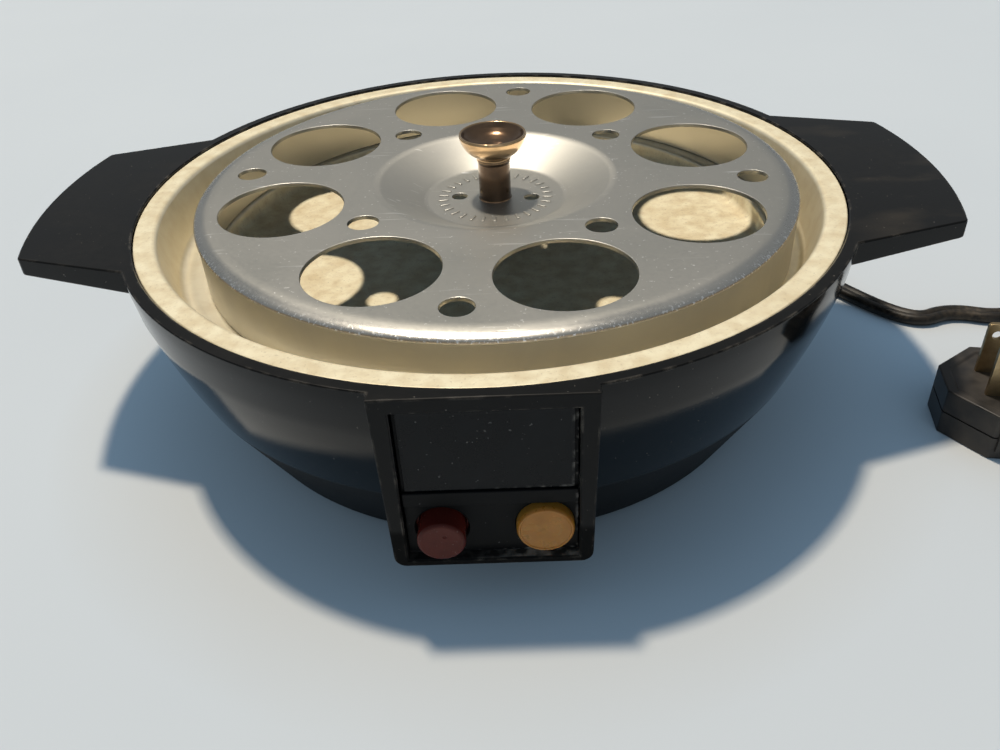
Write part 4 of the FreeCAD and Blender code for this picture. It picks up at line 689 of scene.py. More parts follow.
def knob_finish(colours, sizes):
    finish = Finish("knob_brown", Metallic=0.9, Coat_Weight=0.35, Coat_Roughness=0.06)
    patches = finish.noise(160, 5)
    mottle = finish.band(patches, 0.42, 0.66)
    height = finish.part("Z")
    # Painted shade: the cup's hollow is painted darker brown for its dark reflections.
    painted_dark_cup = finish.times(
        finish.band(finish.radius(sizes.middle), sizes.knob_radius - 0.7 * MM, sizes.knob_radius - 1.0 * MM),
        finish.band(finish.upward(), 0.1, 0.3))
    # Painted shade: the stem below the head is painted dark brown.
    stem = finish.band(height, sizes.knob_top - 7.4 * MM, sizes.knob_top - 8.8 * MM)
    colour = finish.mix(mottle, colours.knob, [0.7 * part for part in colours.knob])
    stem_painted_shade = finish.mix(mottle, (0.105, 0.066, 0.040), (0.066, 0.041, 0.026))
    hollow = finish.mix(mottle, (0.21, 0.130, 0.078), (0.14, 0.087, 0.053))
    colour = finish.mix(painted_dark_cup, finish.mix(stem, colour, stem_painted_shade), hollow)
    worn = finish.times(finish.edges(0.6 * MM), finish.band(finish.noise(500, 3), 0.45, 0.6), 0.4)
    colour = finish.mix(worn, colour, (0.72, 0.54, 0.36))
    gloss = finish.band(patches, 0.3, 0.75, 0.14, 0.30)
    return finish.done(colour, gloss, finish.plus(finish.rings(2500, 1, Z=height), patches), 0.06, 0.03)


def panel_finish(name, colour, roughness, shine, grain, right, low, dusty):
    """Moulded charcoal with pale dust along the right and the lower edge of a field."""
    finish = Finish(name, Specular_IOR_Level=shine)
    across = finish.part("X")
    patches = finish.noise(120, 5)
    lower = finish.times(
        finish.band(finish.part("Z"), low + 0.9 * MM, low + 0.1 * MM),
        finish.band(across, -4 * MM, 8 * MM, 0.2, 1))
    dust = finish.times(
        finish.most(finish.band(across, right - 0.9 * MM, right - 0.1 * MM), lower),
        finish.band(finish.noise(420, 5), 0.50, 0.66, 0, dusty), 0.6)
    base = finish.fade(patches, 0.4, 0.7, colour, [1.9 * part for part in colour], 0.6)
    marks = finish.most(finish.specks(900, 0.26), finish.scratches(240, 0.05, 0.9, 0.70))
    base = finish.mix(finish.times(marks, 0.22), base, (0.4, 0.4, 0.4))
    return finish.done(
        finish.mix(dust, base, (0.52, 0.50, 0.47)),
        finish.band(patches, 0.3, 0.75, roughness * 0.85, roughness * 1.25),
        finish.noise(grain, 3), 0.25, 0.05)


def button_finish(colours, front):
    finish = Finish(
        "button_red", Subsurface_Weight=0.12, Subsurface_Scale=0.002, Subsurface_Radius=(1.0, 0.2, 0.1),
        Specular_IOR_Level=0.20)
    face = finish.band(finish.part("Y"), front + 1.0 * MM, front + 0.45 * MM)
    patches = finish.noise(340, 5)
    dull = finish.fade(patches, 0.35, 0.7, (0.080, 0.013, 0.009), (0.105, 0.020, 0.014))
    colour = finish.mix(face, colours.button, dull)
    colour = finish.mix(finish.times(finish.specks(1500, 0.27), 0.3), colour, (0.45, 0.30, 0.28))
    gloss = finish.plus(finish.band(face, 0, 1, 0.20, 0.36), finish.band(patches, 0.3, 0.7, -0.04, 0.06))
    return finish.done(colour, gloss, finish.noise(1800, 3), 0.2, 0.03)


def lens_finish(colours, front):
    finish = Finish(
        "lens_amber", Transmission_Weight=0.20, IOR=1.49, Subsurface_Weight=0.35,
        Subsurface_Scale=0.004, Subsurface_Radius=(1.0, 0.5, 0.12), Coat_Weight=0.12, Coat_Roughness=0.05)
    face = finish.band(finish.part("Y"), front + 0.8 * MM, front + 0.35 * MM)
    patches = finish.noise(260, 5)
    pale = finish.fade(patches, 0.35, 0.7, (0.58, 0.245, 0.022), (0.50, 0.205, 0.018))
    gloss = finish.band(patches, 0.3, 0.7, 0.24, 0.40)
    return finish.done(finish.mix(face, colours.lens, pale), gloss, finish.noise(900, 3), 0.1, 0.03)


def cord_finish(colours):
    finish = Finish("cord_rubber", Specular_IOR_Level=0.35)
    patches = finish.noise(70, 5)
    dust = finish.times(finish.band(patches, 0.4, 0.68), finish.band(finish.noise(600, 3), 0.35, 0.7))
    colour = finish.mix(dust, colours.cord, (0.075, 0.058, 0.040))
    gloss = finish.band(patches, 0.3, 0.7, 0.32, 0.48)
    return finish.done(colour, gloss, finish.noise(1300, 2), 0.12, 0.04)


def floor_finish(colours):
    """Pale cloth with a painted bluish glow for what the camera and mirrors see, dimmed near the pieces as
    painted contact shade.
    """
    finish = Finish(
        "floor_cloth", Roughness=0.9, Specular_IOR_Level=0.15, Emission_Color=(0.40, 0.67, 1.0, 1.0))
    darker = [0.965 * part for part in colours.floor]
    finish.link("Base Color", finish.fade(finish.noise(5, 4), 0.3, 0.7, colours.floor, darker))
    # Painted contact shade: the glow fades where ambient occlusion finds pieces close by.
    open_air = finish.add("ShaderNodeAmbientOcclusion", {"Distance": 0.06}).outputs["AO"]
    seen = finish.seen()[0]
    finish.link("Emission Strength", finish.times(seen, finish.chain("POWER", open_air, 1.5), 0.225))
    return finish.material


class MakeStage(bpy.types.Operator):
    """Sets the floor, the lamps, the sky and the camera"""
    bl_idname = "egg_cooker.stage"
    bl_label = "Stage"

    def execute(self, context):
        scene = context.scene
        scene.view_settings.view_transform = "Standard"
        clear()
        bpy.ops.mesh.primitive_plane_add(size=9.0, location=(0, 0, 0))
        bpy.ops.object.mode_set(mode="EDIT")
        bpy.ops.mesh.subdivide(number_cuts=4)
        floor = shut()
        floor.name = "floor"
        floor.data.materials.append(floor_finish(scene.cooker_colours))
        self.camera(scene)
        for name, place, width, power, colour in LAMPS:
            clear()
            bpy.ops.object.light_add(type="AREA", location=place)
            lamp = context.object
            lamp.name = name
            lamp.data.size = width
            lamp.data.energy = power
            lamp.data.color = colour
            lamp.rotation_euler = (-Vector(place)).to_track_quat("-Z", "Y").to_euler()
        self.sky(scene)
        return {"FINISHED"}

    def camera(self, scene):
        azimuth, elevation, roll = (math.radians(angle) for angle in CAMERA_ANGLES)
        back = Vector((
            math.sin(azimuth) * math.cos(elevation), -math.cos(azimuth) * math.cos(elevation),
            math.sin(elevation)))
        across = Vector((0, 0, 1)).cross(back).normalized()
        upward = back.cross(across)
        right = math.cos(roll) * across + math.sin(roll) * upward
        above = math.cos(roll) * upward - math.sin(roll) * across
        data = bpy.data.cameras.new("camera")
        data.sensor_width = CAMERA_SENSOR
        data.lens = CAMERA_LENS
        data.clip_start = 0.01
        camera = bpy.data.objects.new("camera", data)
        scene.collection.objects.link(camera)
        turn = Matrix((right, above, back)).transposed()
        camera.matrix_world = Matrix.Translation(CAMERA_PLACE) @ turn.to_4x4()
        scene.camera = camera

    def sky(self, scene):
        """A sky that is brighter low down, and even where it is seen itself."""
        world = bpy.data.worlds.new("sky")
        scene.world = world
        world.use_nodes = True
        nodes = Nodes(world.node_tree)
        seen, mirrored = nodes.seen()
        way = nodes.source("TexCoord", "Generated")
        rise = nodes.part("Z", way)
        glow = nodes.times(
            nodes.band(rise, 0.02, 0.35), nodes.band(rise, 0.80, 0.5, 0.02, 1),
            nodes.band(nodes.part("X", way), -0.7, 0.7, 0.6, 0.3))
        shade = world.node_tree.nodes["Background"].inputs
        world.node_tree.links.new(nodes.band(seen, 0, 1, glow, 0.27), shade["Strength"])
        tone = nodes.mix(mirrored, (0.53, 0.77, 1.0), (0.86, 0.92, 0.97))
        world.node_tree.links.new(tone, shade["Color"])


def flat_coil(sizes, layer_low, layer_step):
    """Control points of the put-away turns: inwards, up and outwards again."""
    points = []
    count, whole = 40, 2.5
    for step in range(count + 1):
        turns = whole * step / count
        climb = min(max((turns - 0.75) * 2, 0), 1)
        climb = climb * climb * (3 - 2 * climb)
        reach = sizes.coil_reach - sizes.coil_pitch * min(turns, 1, whole - turns)
        angle = math.radians(90) - FULL_TURN * turns
        points.append((
            sizes.coil_x + reach * math.cos(angle), sizes.coil_y + reach * math.sin(angle),
            layer_low + layer_step * climb))
    return points


def spline_points(points):
    """Points read from a smooth spline with the route as its control points."""
    curve = bpy.data.curves.new("cord_route", "CURVE")
    curve.dimensions = "3D"
    spline = curve.splines.new("NURBS")
    spline.points.add(len(points) - 1)
    for knot, place in zip(spline.points, points):
        knot.co = (*place, 1)
    spline.order_u = 3
    spline.use_endpoint_u = True
    spline.resolution_u = 8
    holder = bpy.data.objects.new("cord_route", curve)
    line = bpy.data.meshes.new_from_object(holder)
    spots = [corner.co.copy() for corner in line.vertices]
    bpy.data.objects.remove(holder)
    bpy.data.curves.remove(curve)
    bpy.data.meshes.remove(line)
    return spots


def twin_section(width, height):
    """Outline of two round cores side by side, as (across, up)."""
    radius = height / 2
    offset = width / 2 - radius
    half = math.acos(-offset / radius)
    count = 10
    outline = []
    for side, start in ((1, -half), (-1, math.pi - half)):
        for step in range(count):
            angle = start + 2 * half * step / count
            outline.append((side * offset + radius * math.cos(angle), radius * math.sin(angle)))
    return outline


def twin_cord(spots, width, height):
    """The twin section swept along the spots, with closed ends."""
    section = twin_section(width, height)
    corners, faces = [], []
    for index, spot in enumerate(spots):
        heading = (spots[min(index + 1, len(spots) - 1)] - spots[max(index - 1, 0)]).normalized()
        across = heading.cross(Vector((0, 0, 1))).normalized()
        upward = across.cross(heading)
        corners += [spot + across * x + upward * y for x, y in section]
    many = len(section)
    for ring in range(len(spots) - 1):
        for step in range(many):
            after = (step + 1) % many
            faces.append((
                ring * many + step, ring * many + after, (ring + 1) * many + after,
                (ring + 1) * many + step))
    faces.append(tuple(range(many)))
    faces.append(tuple(range((len(spots) - 1) * many, len(spots) * many)))
    mesh = bpy.data.meshes.new("cord")
    mesh.from_pydata(corners, [], faces)
    piece = bpy.data.objects.new("cord", mesh)
    bpy.context.scene.collection.objects.link(piece)
    opened(piece)
    return shut_outward()


def ribs(start, length, count, outer, taper, groove, rise, rounding):
    """Profile of the ribs along a tapered sleeve."""
    profile = []
    long = length / count
    for rib in range(count):
        at = start + long * rib
        crest = outer - taper * (rib + 0.5) / count
        profile += [
            (crest - groove, at + 0.15 * long, 0.2 * MM), (crest - groove, at + rise * long, 0.2 * MM),
            (crest, at + (rise + 0.1) * long, rounding), (crest - 0.1 * MM, at + 0.98 * long, rounding)]
    return profile


class MakeCord(bpy.types.Operator):
    """Lays the cord with its strain relief, plug and tie"""
    bl_idname = "egg_cooker.cord"
    bl_label = "Cord and plug"

    def execute(self, context):
        sizes = context.scene.cord_sizes
        finish = cord_finish(context.scene.cooker_colours)
        rubber = plain_finish("plug_black", (0.014, 0.013, 0.013), (0.055, 0.047, 0.040), 0.5, scale=120)
        coil = flat_coil(sizes, sizes.height / 2 + 0.95 * MM, sizes.height + 0.35 * MM)
        spots = spline_points(mm(*CORD_LEAD) + coil + mm(*CORD_TAIL))
        cord = twin_cord(spots, sizes.width, sizes.height)
        dressed(cord, "cord", "base", ["cord_lead", "cord_coil", "cord_tail"], finish, 60)
        self.relief(sizes, finish)
        plug = self.plug(sizes, rubber)
        sleeve = self.sleeve(sizes, rubber)
        blades = self.blades(sizes)
        tie = self.tie()
        return {"FINISHED"}

    def relief(self, sizes, finish):
        face, end, inner = sizes.boss_face, sizes.relief_end, RELIEF_LOW.y
        collar = 2.6 * MM
        piece = turned([
            (0, inner), (8.0 * MM, inner, 0.4 * MM), (8.0 * MM, inner + 3 * MM, 0.4 * MM),
            (5.6 * MM, inner + 3 * MM), (5.6 * MM, face), (7.5 * MM, face, 0.3 * MM),
            (7.4 * MM, face + collar, 0.5 * MM),
            *ribs(face + collar, end - face - collar - 1 * MM, 7, 7.2 * MM, 3.0 * MM, 1.0 * MM, 0.45,
                  0.3 * MM),
            (4.0 * MM, end - 0.6 * MM, 0.4 * MM), (3.8 * MM, end), (0, end)], 48, "Y")
        moved(piece, (0, 0, sizes.exit_height))
        return dressed(piece, "strain_relief_sleeve", "base", ["strain_relief"], finish)

    def settled(self, piece, sizes):
        return moved(piece, (sizes.plug_x, sizes.plug_y, 0), (0, 0, sizes.plug_turn))

    def plug(self, sizes, finish):
        half, wide, tall, corner = 17 * MM, 19 * MM, 16 * MM, 12 * MM
        body = opened(slab([
            (-half + corner, -wide, 0), (half - corner / 2, -wide, 0), (half, -wide + corner, 0),
            (half, wide - corner, 0), (half - corner / 2, wide, 0), (-half + corner, wide, 0),
            (-half, wide - corner, 0), (-half, -wide + corner, 0)], (0, 0, tall)))
        pick(body, "FACE", lambda face: face.normal.z > 0.9)
        bpy.ops.mesh.inset(thickness=3.0 * MM, depth=0)
        bpy.ops.mesh.inset(thickness=0.5 * MM, depth=-0.8 * MM)
        shut()
        opened(softened(body, 1.1 * MM, 3, 40))
        for height in (7.8 * MM, 8.4 * MM):
            pick_all()
            bpy.ops.mesh.bisect(plane_co=(0, 0, height), plane_no=(0, 0, 1))
        pick(body, "FACE", lambda face: abs(face.calc_center_median().z - 8.1 * MM) < 0.2 * MM)
        bpy.ops.mesh.extrude_region_shrink_fatten(
            TRANSFORM_OT_shrink_fatten={"value": -0.45 * MM})
        shut()
        grips = []
        for side in (wide, -wide):
            for step in range(5):
                x = (-3.5 + 2.6 * step) * MM
                grip = block((x, side - 0.8 * MM, 3.0 * MM), (x + 1.3 * MM, side + 0.5 * MM, 13.0 * MM))
                grips.append(softened(grip, 0.3 * MM, 2))
        combined(body, "UNION", grips)
        self.settled(tidied(body), sizes)
        return dressed(body, "plug_body", "base", ["plug"], finish)

    def sleeve(self, sizes, finish):
        start, end, collar = 16.5 * MM, 39 * MM, 3 * MM
        piece = turned([
            (0, start), (6.0 * MM, start), (6.0 * MM, start + collar, 0.4 * MM),
            *ribs(start + collar, end - start - collar, 5, 5.9 * MM, 1.9 * MM, 0.7 * MM, 0.5, 0.25 * MM),
            (3.75 * MM, end), (0, end)], 40, "Y")
        moved(piece, (0, 0, 7.5 * MM), (0, 0, -math.pi / 2))
        self.settled(piece, sizes)
        return dressed(piece, "plug_sleeve", "base", ["plug_relief"], finish)

    def blades(self, sizes):
        brass = plain_finish("brass", (0.55, 0.42, 0.24), (0.35, 0.25, 0.13), 0.32, 1.0, 220)
        tip = 33 * MM
        blades = []
        for y in (6.35 * MM, -6.35 * MM):
            blade = opened(block((-6.15 * MM, y - 0.75 * MM, 15 * MM), (0.15 * MM, y + 0.75 * MM, tip)))
            pick(blade, "EDGE", lambda edge: all(
                corner.co.z > tip - 0.1 * MM for corner in edge.verts) and abs(
                    edge.verts[0].co.x - edge.verts[1].co.x) < TOUCH)
            bpy.ops.mesh.bevel(offset=1.1 * MM, segments=2, affect="EDGES")
            shut()
            hole = turned(mm((0, -3), (1.5, -3), (1.5, 3), (0, 3)), 24, "Y")
            combined(blade, "DIFFERENCE", [moved(hole, (-3 * MM, y, 29 * MM))])
            blades.append(softened(blade, 0.18 * MM, 2, 50))
        piece = self.settled(merged(blades), sizes)
        return dressed(piece, "plug_pins", "base", ["plug_blades"], brass)

    def tie(self):
        paper = plain_finish("tie_paper", (0.86, 0.85, 0.80), (0.66, 0.64, 0.58), 0.75, scale=200)
        near, far, start = 275.6 * MM, 290.4 * MM, -22 * MM
        low, high, wide = 0.15 * MM, 10.6 * MM, 8 * MM
        spots = [Vector((x, start, z)) for x, z in ((near, low), (far, low), (far, high), (near, high))]
        band = closed(traced(spots))
        for spot in spots:
            rounded(band, spot, 2.6 * MM, 5)
        pick_all()
        extrude((0, wide, 0))
        shut_outward()
        modified(band, "SOLIDIFY", thickness=0.6 * MM, offset=-1)
        wisps = []
        for side in (1, -1):
            wisp = opened(block((-0.4 * MM, -1.6 * MM, 0), (0.4 * MM, 1.6 * MM, 11 * MM)))
            pick_all()
            bpy.ops.mesh.subdivide(number_cuts=12)
            shut()
            modified(wisp, "SIMPLE_DEFORM", deform_method="TWIST", deform_axis="Z", angle=math.radians(520))
            wisps.append(moved(
                wisp, (283 * MM, start + wide / 2 + side * 0.8 * MM, high - 0.8 * MM),
                (math.radians(-side * 58), math.radians(-12), 0)))
        piece = merged([band] + wisps)
        return dressed(piece, "twist_tie", "base", ["cord_tie"], paper)


class MakeBowl(bpy.types.Operator):
    """Models the moulded bowl with its handles and control box"""
    bl_idname = "egg_cooker.bowl"
    bl_label = "Bowl"

    def execute(self, context):
        sizes = context.scene.bowl_sizes
        wall, foot = sizes.rim_radius - sizes.rim_step, 2 * MM
        side = arc(
            (sizes.crease_radius, sizes.crease_height), (wall, sizes.shoulder), sizes.side_curve, 8)
        outer = turned([
            (0, foot), (sizes.foot_radius, foot, 0.8 * MM),
            (sizes.crease_radius, sizes.crease_height, 0.9 * MM), *side,
            (sizes.rim_radius - 0.25 * MM, sizes.rim_height - sizes.rim_band, 1.2 * MM),
            (sizes.rim_radius, sizes.rim_height, sizes.edge), (0, sizes.rim_height)], 192)
        combined(outer, "UNION", [
            self.handle(sizes, 1), self.handle(sizes, -1), self.box(sizes), self.boss()])
        combined(outer, "DIFFERENCE", [
            self.hollow(sizes), self.box_hollow(), self.recess(sizes), self.cord_hole()])
        tidied(outer)
        dressed(outer, "bowl", "base", ["base_bowl"],
                bowl_finish(context.scene.cooker_colours), 32)
        return {"FINISHED"}

    def handle(self, sizes, side):
        inner, bow_radius, flank = 90 * MM, 141 * MM, 0.311
        edge = sizes.handle_y + (sizes.handle_x - inner) * flank
        top = sizes.rim_height - HAIR
        bow = arc((sizes.handle_x, -sizes.handle_y), (sizes.handle_x, sizes.handle_y), bow_radius, 14)
        plan = [(inner, -edge), (sizes.handle_x, -sizes.handle_y), *bow, (inner, edge)]
        wing = opened(slab([(x, y, top) for x, y in plan], (0, 0, -12 * MM)))
        pick(wing, "EDGE", lambda item: abs(item.verts[0].co.z - item.verts[1].co.z) > 5 * MM and abs(
            item.verts[0].co.x - sizes.handle_x) < 10 * TOUCH)
        bpy.ops.mesh.bevel(offset=sizes.handle_round, segments=5, affect="EDGES")
        slope = (sizes.handle_root - sizes.handle_tip) / (bow_radius - inner)
        pick_all()
        bpy.ops.mesh.bisect(
            plane_co=(inner, 0, top - sizes.handle_root), plane_no=(-slope, 0, 1), use_fill=True,
            clear_inner=True)
        shut_outward()
        softened(wing, 0.6 * MM, 3, 40)
        return wing if side > 0 else moved(wing, (0, 0, 0), (0, 0, math.pi))

    def box(self, sizes):
        top = sizes.rim_height - HAIR
        spots = [(-sizes.box_half_top, top), (-sizes.box_half_low, sizes.box_low),
                 (sizes.box_half_low, sizes.box_low), (sizes.box_half_top, top)]
        spots = [Vector((x, -sizes.box_front, z)) for x, z in spots]
        front = closed(traced(spots))
        for spot in spots[1:3]:
            rounded(front, spot, sizes.box_corner, 5)
        return softened(filled((0, 40 * MM, 0)), 0.45 * MM, 3, 50)

    def boss(self):
        inner, radius = 72 * MM, 9 * MM
        boss = turned([
            (0, inner), (radius, inner), (radius, BOSS_FACE, 0.7 * MM), (0, BOSS_FACE)], 64, "Y")
        return moved(boss, (0, 0, CORD_EXIT))

    def hollow(self, sizes):
        wall = sizes.rim_radius - sizes.rim_step - sizes.wall
        crease = (sizes.crease_radius - sizes.wall, sizes.crease_height)
        seat, flare = sizes.seat_radius, sizes.seat_radius + 0.35 * MM
        side = arc(crease, (wall, sizes.shoulder), sizes.side_curve, 6)
        cover = mm((0, 0), (86.3, 0), (86.3, 5.2), (83.5, 5.2), (83.5, 7.7), (88.4, 7.7))
        ledge = mm((105.3, 64), (105.3, 67.1))
        return turned([
            *cover, crease, *side, (wall, 64 * MM), *ledge, (seat, 67.1 * MM),
            (seat, sizes.rim_height - 0.35 * MM), (flare, sizes.rim_height), (flare, 76 * MM),
            (0, 76 * MM)], 192)

    def box_hollow(self):
        return block(*mm((-22.2, -106.3, 19.5), (22.2, -67, 64)))

    def recess(self, sizes):
        half, mouth = sizes.window_half, -sizes.box_front
        tall = sizes.window_high - sizes.window_low
        flare = 0.4 * MM
        past = flare + 0.05 * MM
        cutter = opened(block(
            (-half, mouth + flare, sizes.window_low), (half, -104 * MM, sizes.window_high)))
        pick(cutter, "FACE", lambda face: face.normal.y < -0.9)
        extrude((0, -past, 0))
        bpy.ops.transform.resize(value=(1 + past / half, 1, 1 + 2 * past / tall))
        extrude((0, -2 * MM, 0))
        return shut()

    def cord_hole(self):
        hole = turned(
            mm((0, 70), (5.65, 70), (5.65, 103.2), (6.1, 103.6), (6.1, 108), (0, 108)), 48, "Y")
        return moved(hole, (0, 0, CORD_EXIT))


class MakePan(bpy.types.Operator):
    """Turns the water pan with its flange, ledge and well"""
    bl_idname = "egg_cooker.pan"
    bl_label = "Water pan"

    def execute(self, context):
        sizes = context.scene.pan_sizes
        sheet = sizes.sheet
        top, ledge = sizes.flange_height, sizes.ledge_height
        floor = sizes.floor_height
        pan = turned([
            (0, floor - sheet), (sizes.floor_radius + sheet, floor - sheet, 1.8 * MM),
            (sizes.well_radius + sheet, ledge - sheet, 0.8 * MM),
            (sizes.ledge_radius + sheet, ledge - sheet, 1.6 * MM),
            (sizes.mouth + sheet, top - sheet, 0.5 * MM), (sizes.flange_radius, top - sheet, 0.3 * MM),
            (sizes.flange_radius, top, 0.5 * MM), (sizes.mouth, top, 1.5 * MM),
            (sizes.ledge_radius, ledge, 2.0 * MM), (sizes.well_radius, ledge, 1.1 * MM),
            (sizes.floor_radius, floor, 1.5 * MM), (0, floor)], 192)
        dressed(pan, "pan", "base", ["water_pan"], pan_finish(context.scene.cooker_colours), 40)
        return {"FINISHED"}


class MakeRack(bpy.types.Operator):
    """Turns and punches the egg rack and sets its knob"""
    bl_idname = "egg_cooker.rack"
    bl_label = "Egg rack and knob"

    def execute(self, context):
        sizes = context.scene.rack_sizes
        colours = context.scene.cooker_colours
        top, foot, sheet = sizes.top, sizes.foot, sizes.sheet
        dish = top - sizes.dish_depth
        skirt = sizes.radius - 0.35 * MM
        crown, count = [], 12
        for step in range(1, count + 1):
            angle = math.pi / 2 * (1 - step / count)
            crown.append((sizes.radius - sizes.edge * (1 - math.sin(angle)),
                          top - sizes.lip * (1 - math.cos(angle))))
        rack = turned([
            (0, dish - sheet), (sizes.dish_floor + sheet / 2, dish - sheet, 1.2 * MM),
            (sizes.dish_mouth + sheet / 2, top - sheet, 1.2 * MM),
            (sizes.radius - sizes.edge, top - sheet), (sizes.radius - 2.2 * MM, top - sheet - 0.9 * MM),
            (skirt - sheet, top - 3.0 * MM, 0.5 * MM), (skirt - sheet, foot, 0.35 * MM),
            (skirt, foot, 0.35 * MM), (skirt, top - sizes.lip - 0.35 * MM),
            (sizes.radius, top - sizes.lip - 0.2 * MM, 0.12 * MM), *crown, (sizes.dish_mouth, top, 1.6 * MM),
            (sizes.dish_floor, dish, 1.0 * MM), (0, dish)], 224)
        combined(rack, "DIFFERENCE", [self.holes(sizes, dish)])
        rack = merged([tidied(rack), self.ticks(sizes, dish)])
        moved(rack, (sizes.middle, 0, 0), (0, 0, sizes.turn))
        dressed(rack, "rack", "rack", ["egg_rack"], rack_finish(colours, sizes), 32)
        knob = self.knob(sizes)
        dressed(knob, "knob", "rack", ["rack_knob"], knob_finish(colours, sizes), 40)
        return {"FINISHED"}

    def cutter(self, radius, top, steps):
        flare, under, over = 0.28 * MM, 6 * MM, 3 * MM
        return turned([
            (0, top - under), (radius, top - under), (radius, top - flare),
            (radius + 0.35 * flare, top - 0.3 * flare), (radius + flare, top + HAIR),
            (radius + flare, top + over), (0, top + over)], steps)

    def holes(self, sizes, dish):
        step = FULL_TURN / sizes.egg_count
        front = -math.pi / 2
        rows = [(sizes.egg_ring, front + step / 2, step, sizes.egg_count, sizes.egg_hole, sizes.top, 96),
                (sizes.steam_inner, front + step, 2 * step, 4, sizes.steam_hole, sizes.top, 48),
                (sizes.steam_outer, front, 2 * step, 4, sizes.steam_hole, sizes.top, 48),
                (sizes.drain_ring, 0, math.pi, 2, sizes.drain_hole, dish, 40)]
        cutters = []
        for ring, first, turn, count, radius, top, steps in rows:
            master = self.cutter(radius, top, steps)
            for index in range(count):
                angle = first + turn * index
                cutters.append(copied(master, (ring * math.cos(angle), ring * math.sin(angle), 0)))
            bpy.data.objects.remove(master)
        return merged(cutters)

    def ticks(self, sizes, dish):
        """A ring of short pressed marks round the dish's floor."""
        ring, long, wide = sizes.tick_ring, 3.2 * MM, 1.0 * MM
        opened(softened(block((ring - long / 2, -wide / 2, dish - 0.4 * MM),
                              (ring + long / 2, wide / 2, dish + 0.35 * MM)), 0.3 * MM, 2))
        pick_all()
        more = sizes.tick_count - 1
        bpy.ops.mesh.spin(
            steps=more, dupli=True, angle=FULL_TURN * more / (more + 1), center=(0, 0, 0), axis=(0, 0, 1))
        return shut()

    def knob(self, sizes):
        top, foot = sizes.knob_top, sizes.knob_foot
        head, stem = sizes.knob_radius, sizes.knob_stem
        knob = turned([
            (0, foot), (stem + 0.25 * MM, foot), (stem, foot + 0.6 * MM), (stem, top - 9.2 * MM, 0.5 * MM),
            (stem + 0.4 * MM, top - 8.5 * MM, 0.3 * MM), (stem + 0.15 * MM, top - 7.7 * MM, 0.3 * MM),
            (5.7 * MM, top - 7.1 * MM, 0.4 * MM), (7.5 * MM, top - 6.1 * MM, 0.8 * MM),
            (9.0 * MM, top - 4.6 * MM, 0.8 * MM), (10.05 * MM, top - 2.6 * MM, 0.8 * MM),
            (head, top - 0.7 * MM, 0.4 * MM), (head - 0.25 * MM, top, 0.2 * MM),
            (head - 0.8 * MM, top - 0.1 * MM, 0.2 * MM), (9.1 * MM, top - 1.5 * MM, 0.5 * MM),
            (7.2 * MM, top - 3.1 * MM, 0.9 * MM), (4.0 * MM, top - 4.2 * MM, 0.9 * MM),
            (0, top - 4.5 * MM)], 96)
        return moved(knob, (sizes.middle, 0, 0))


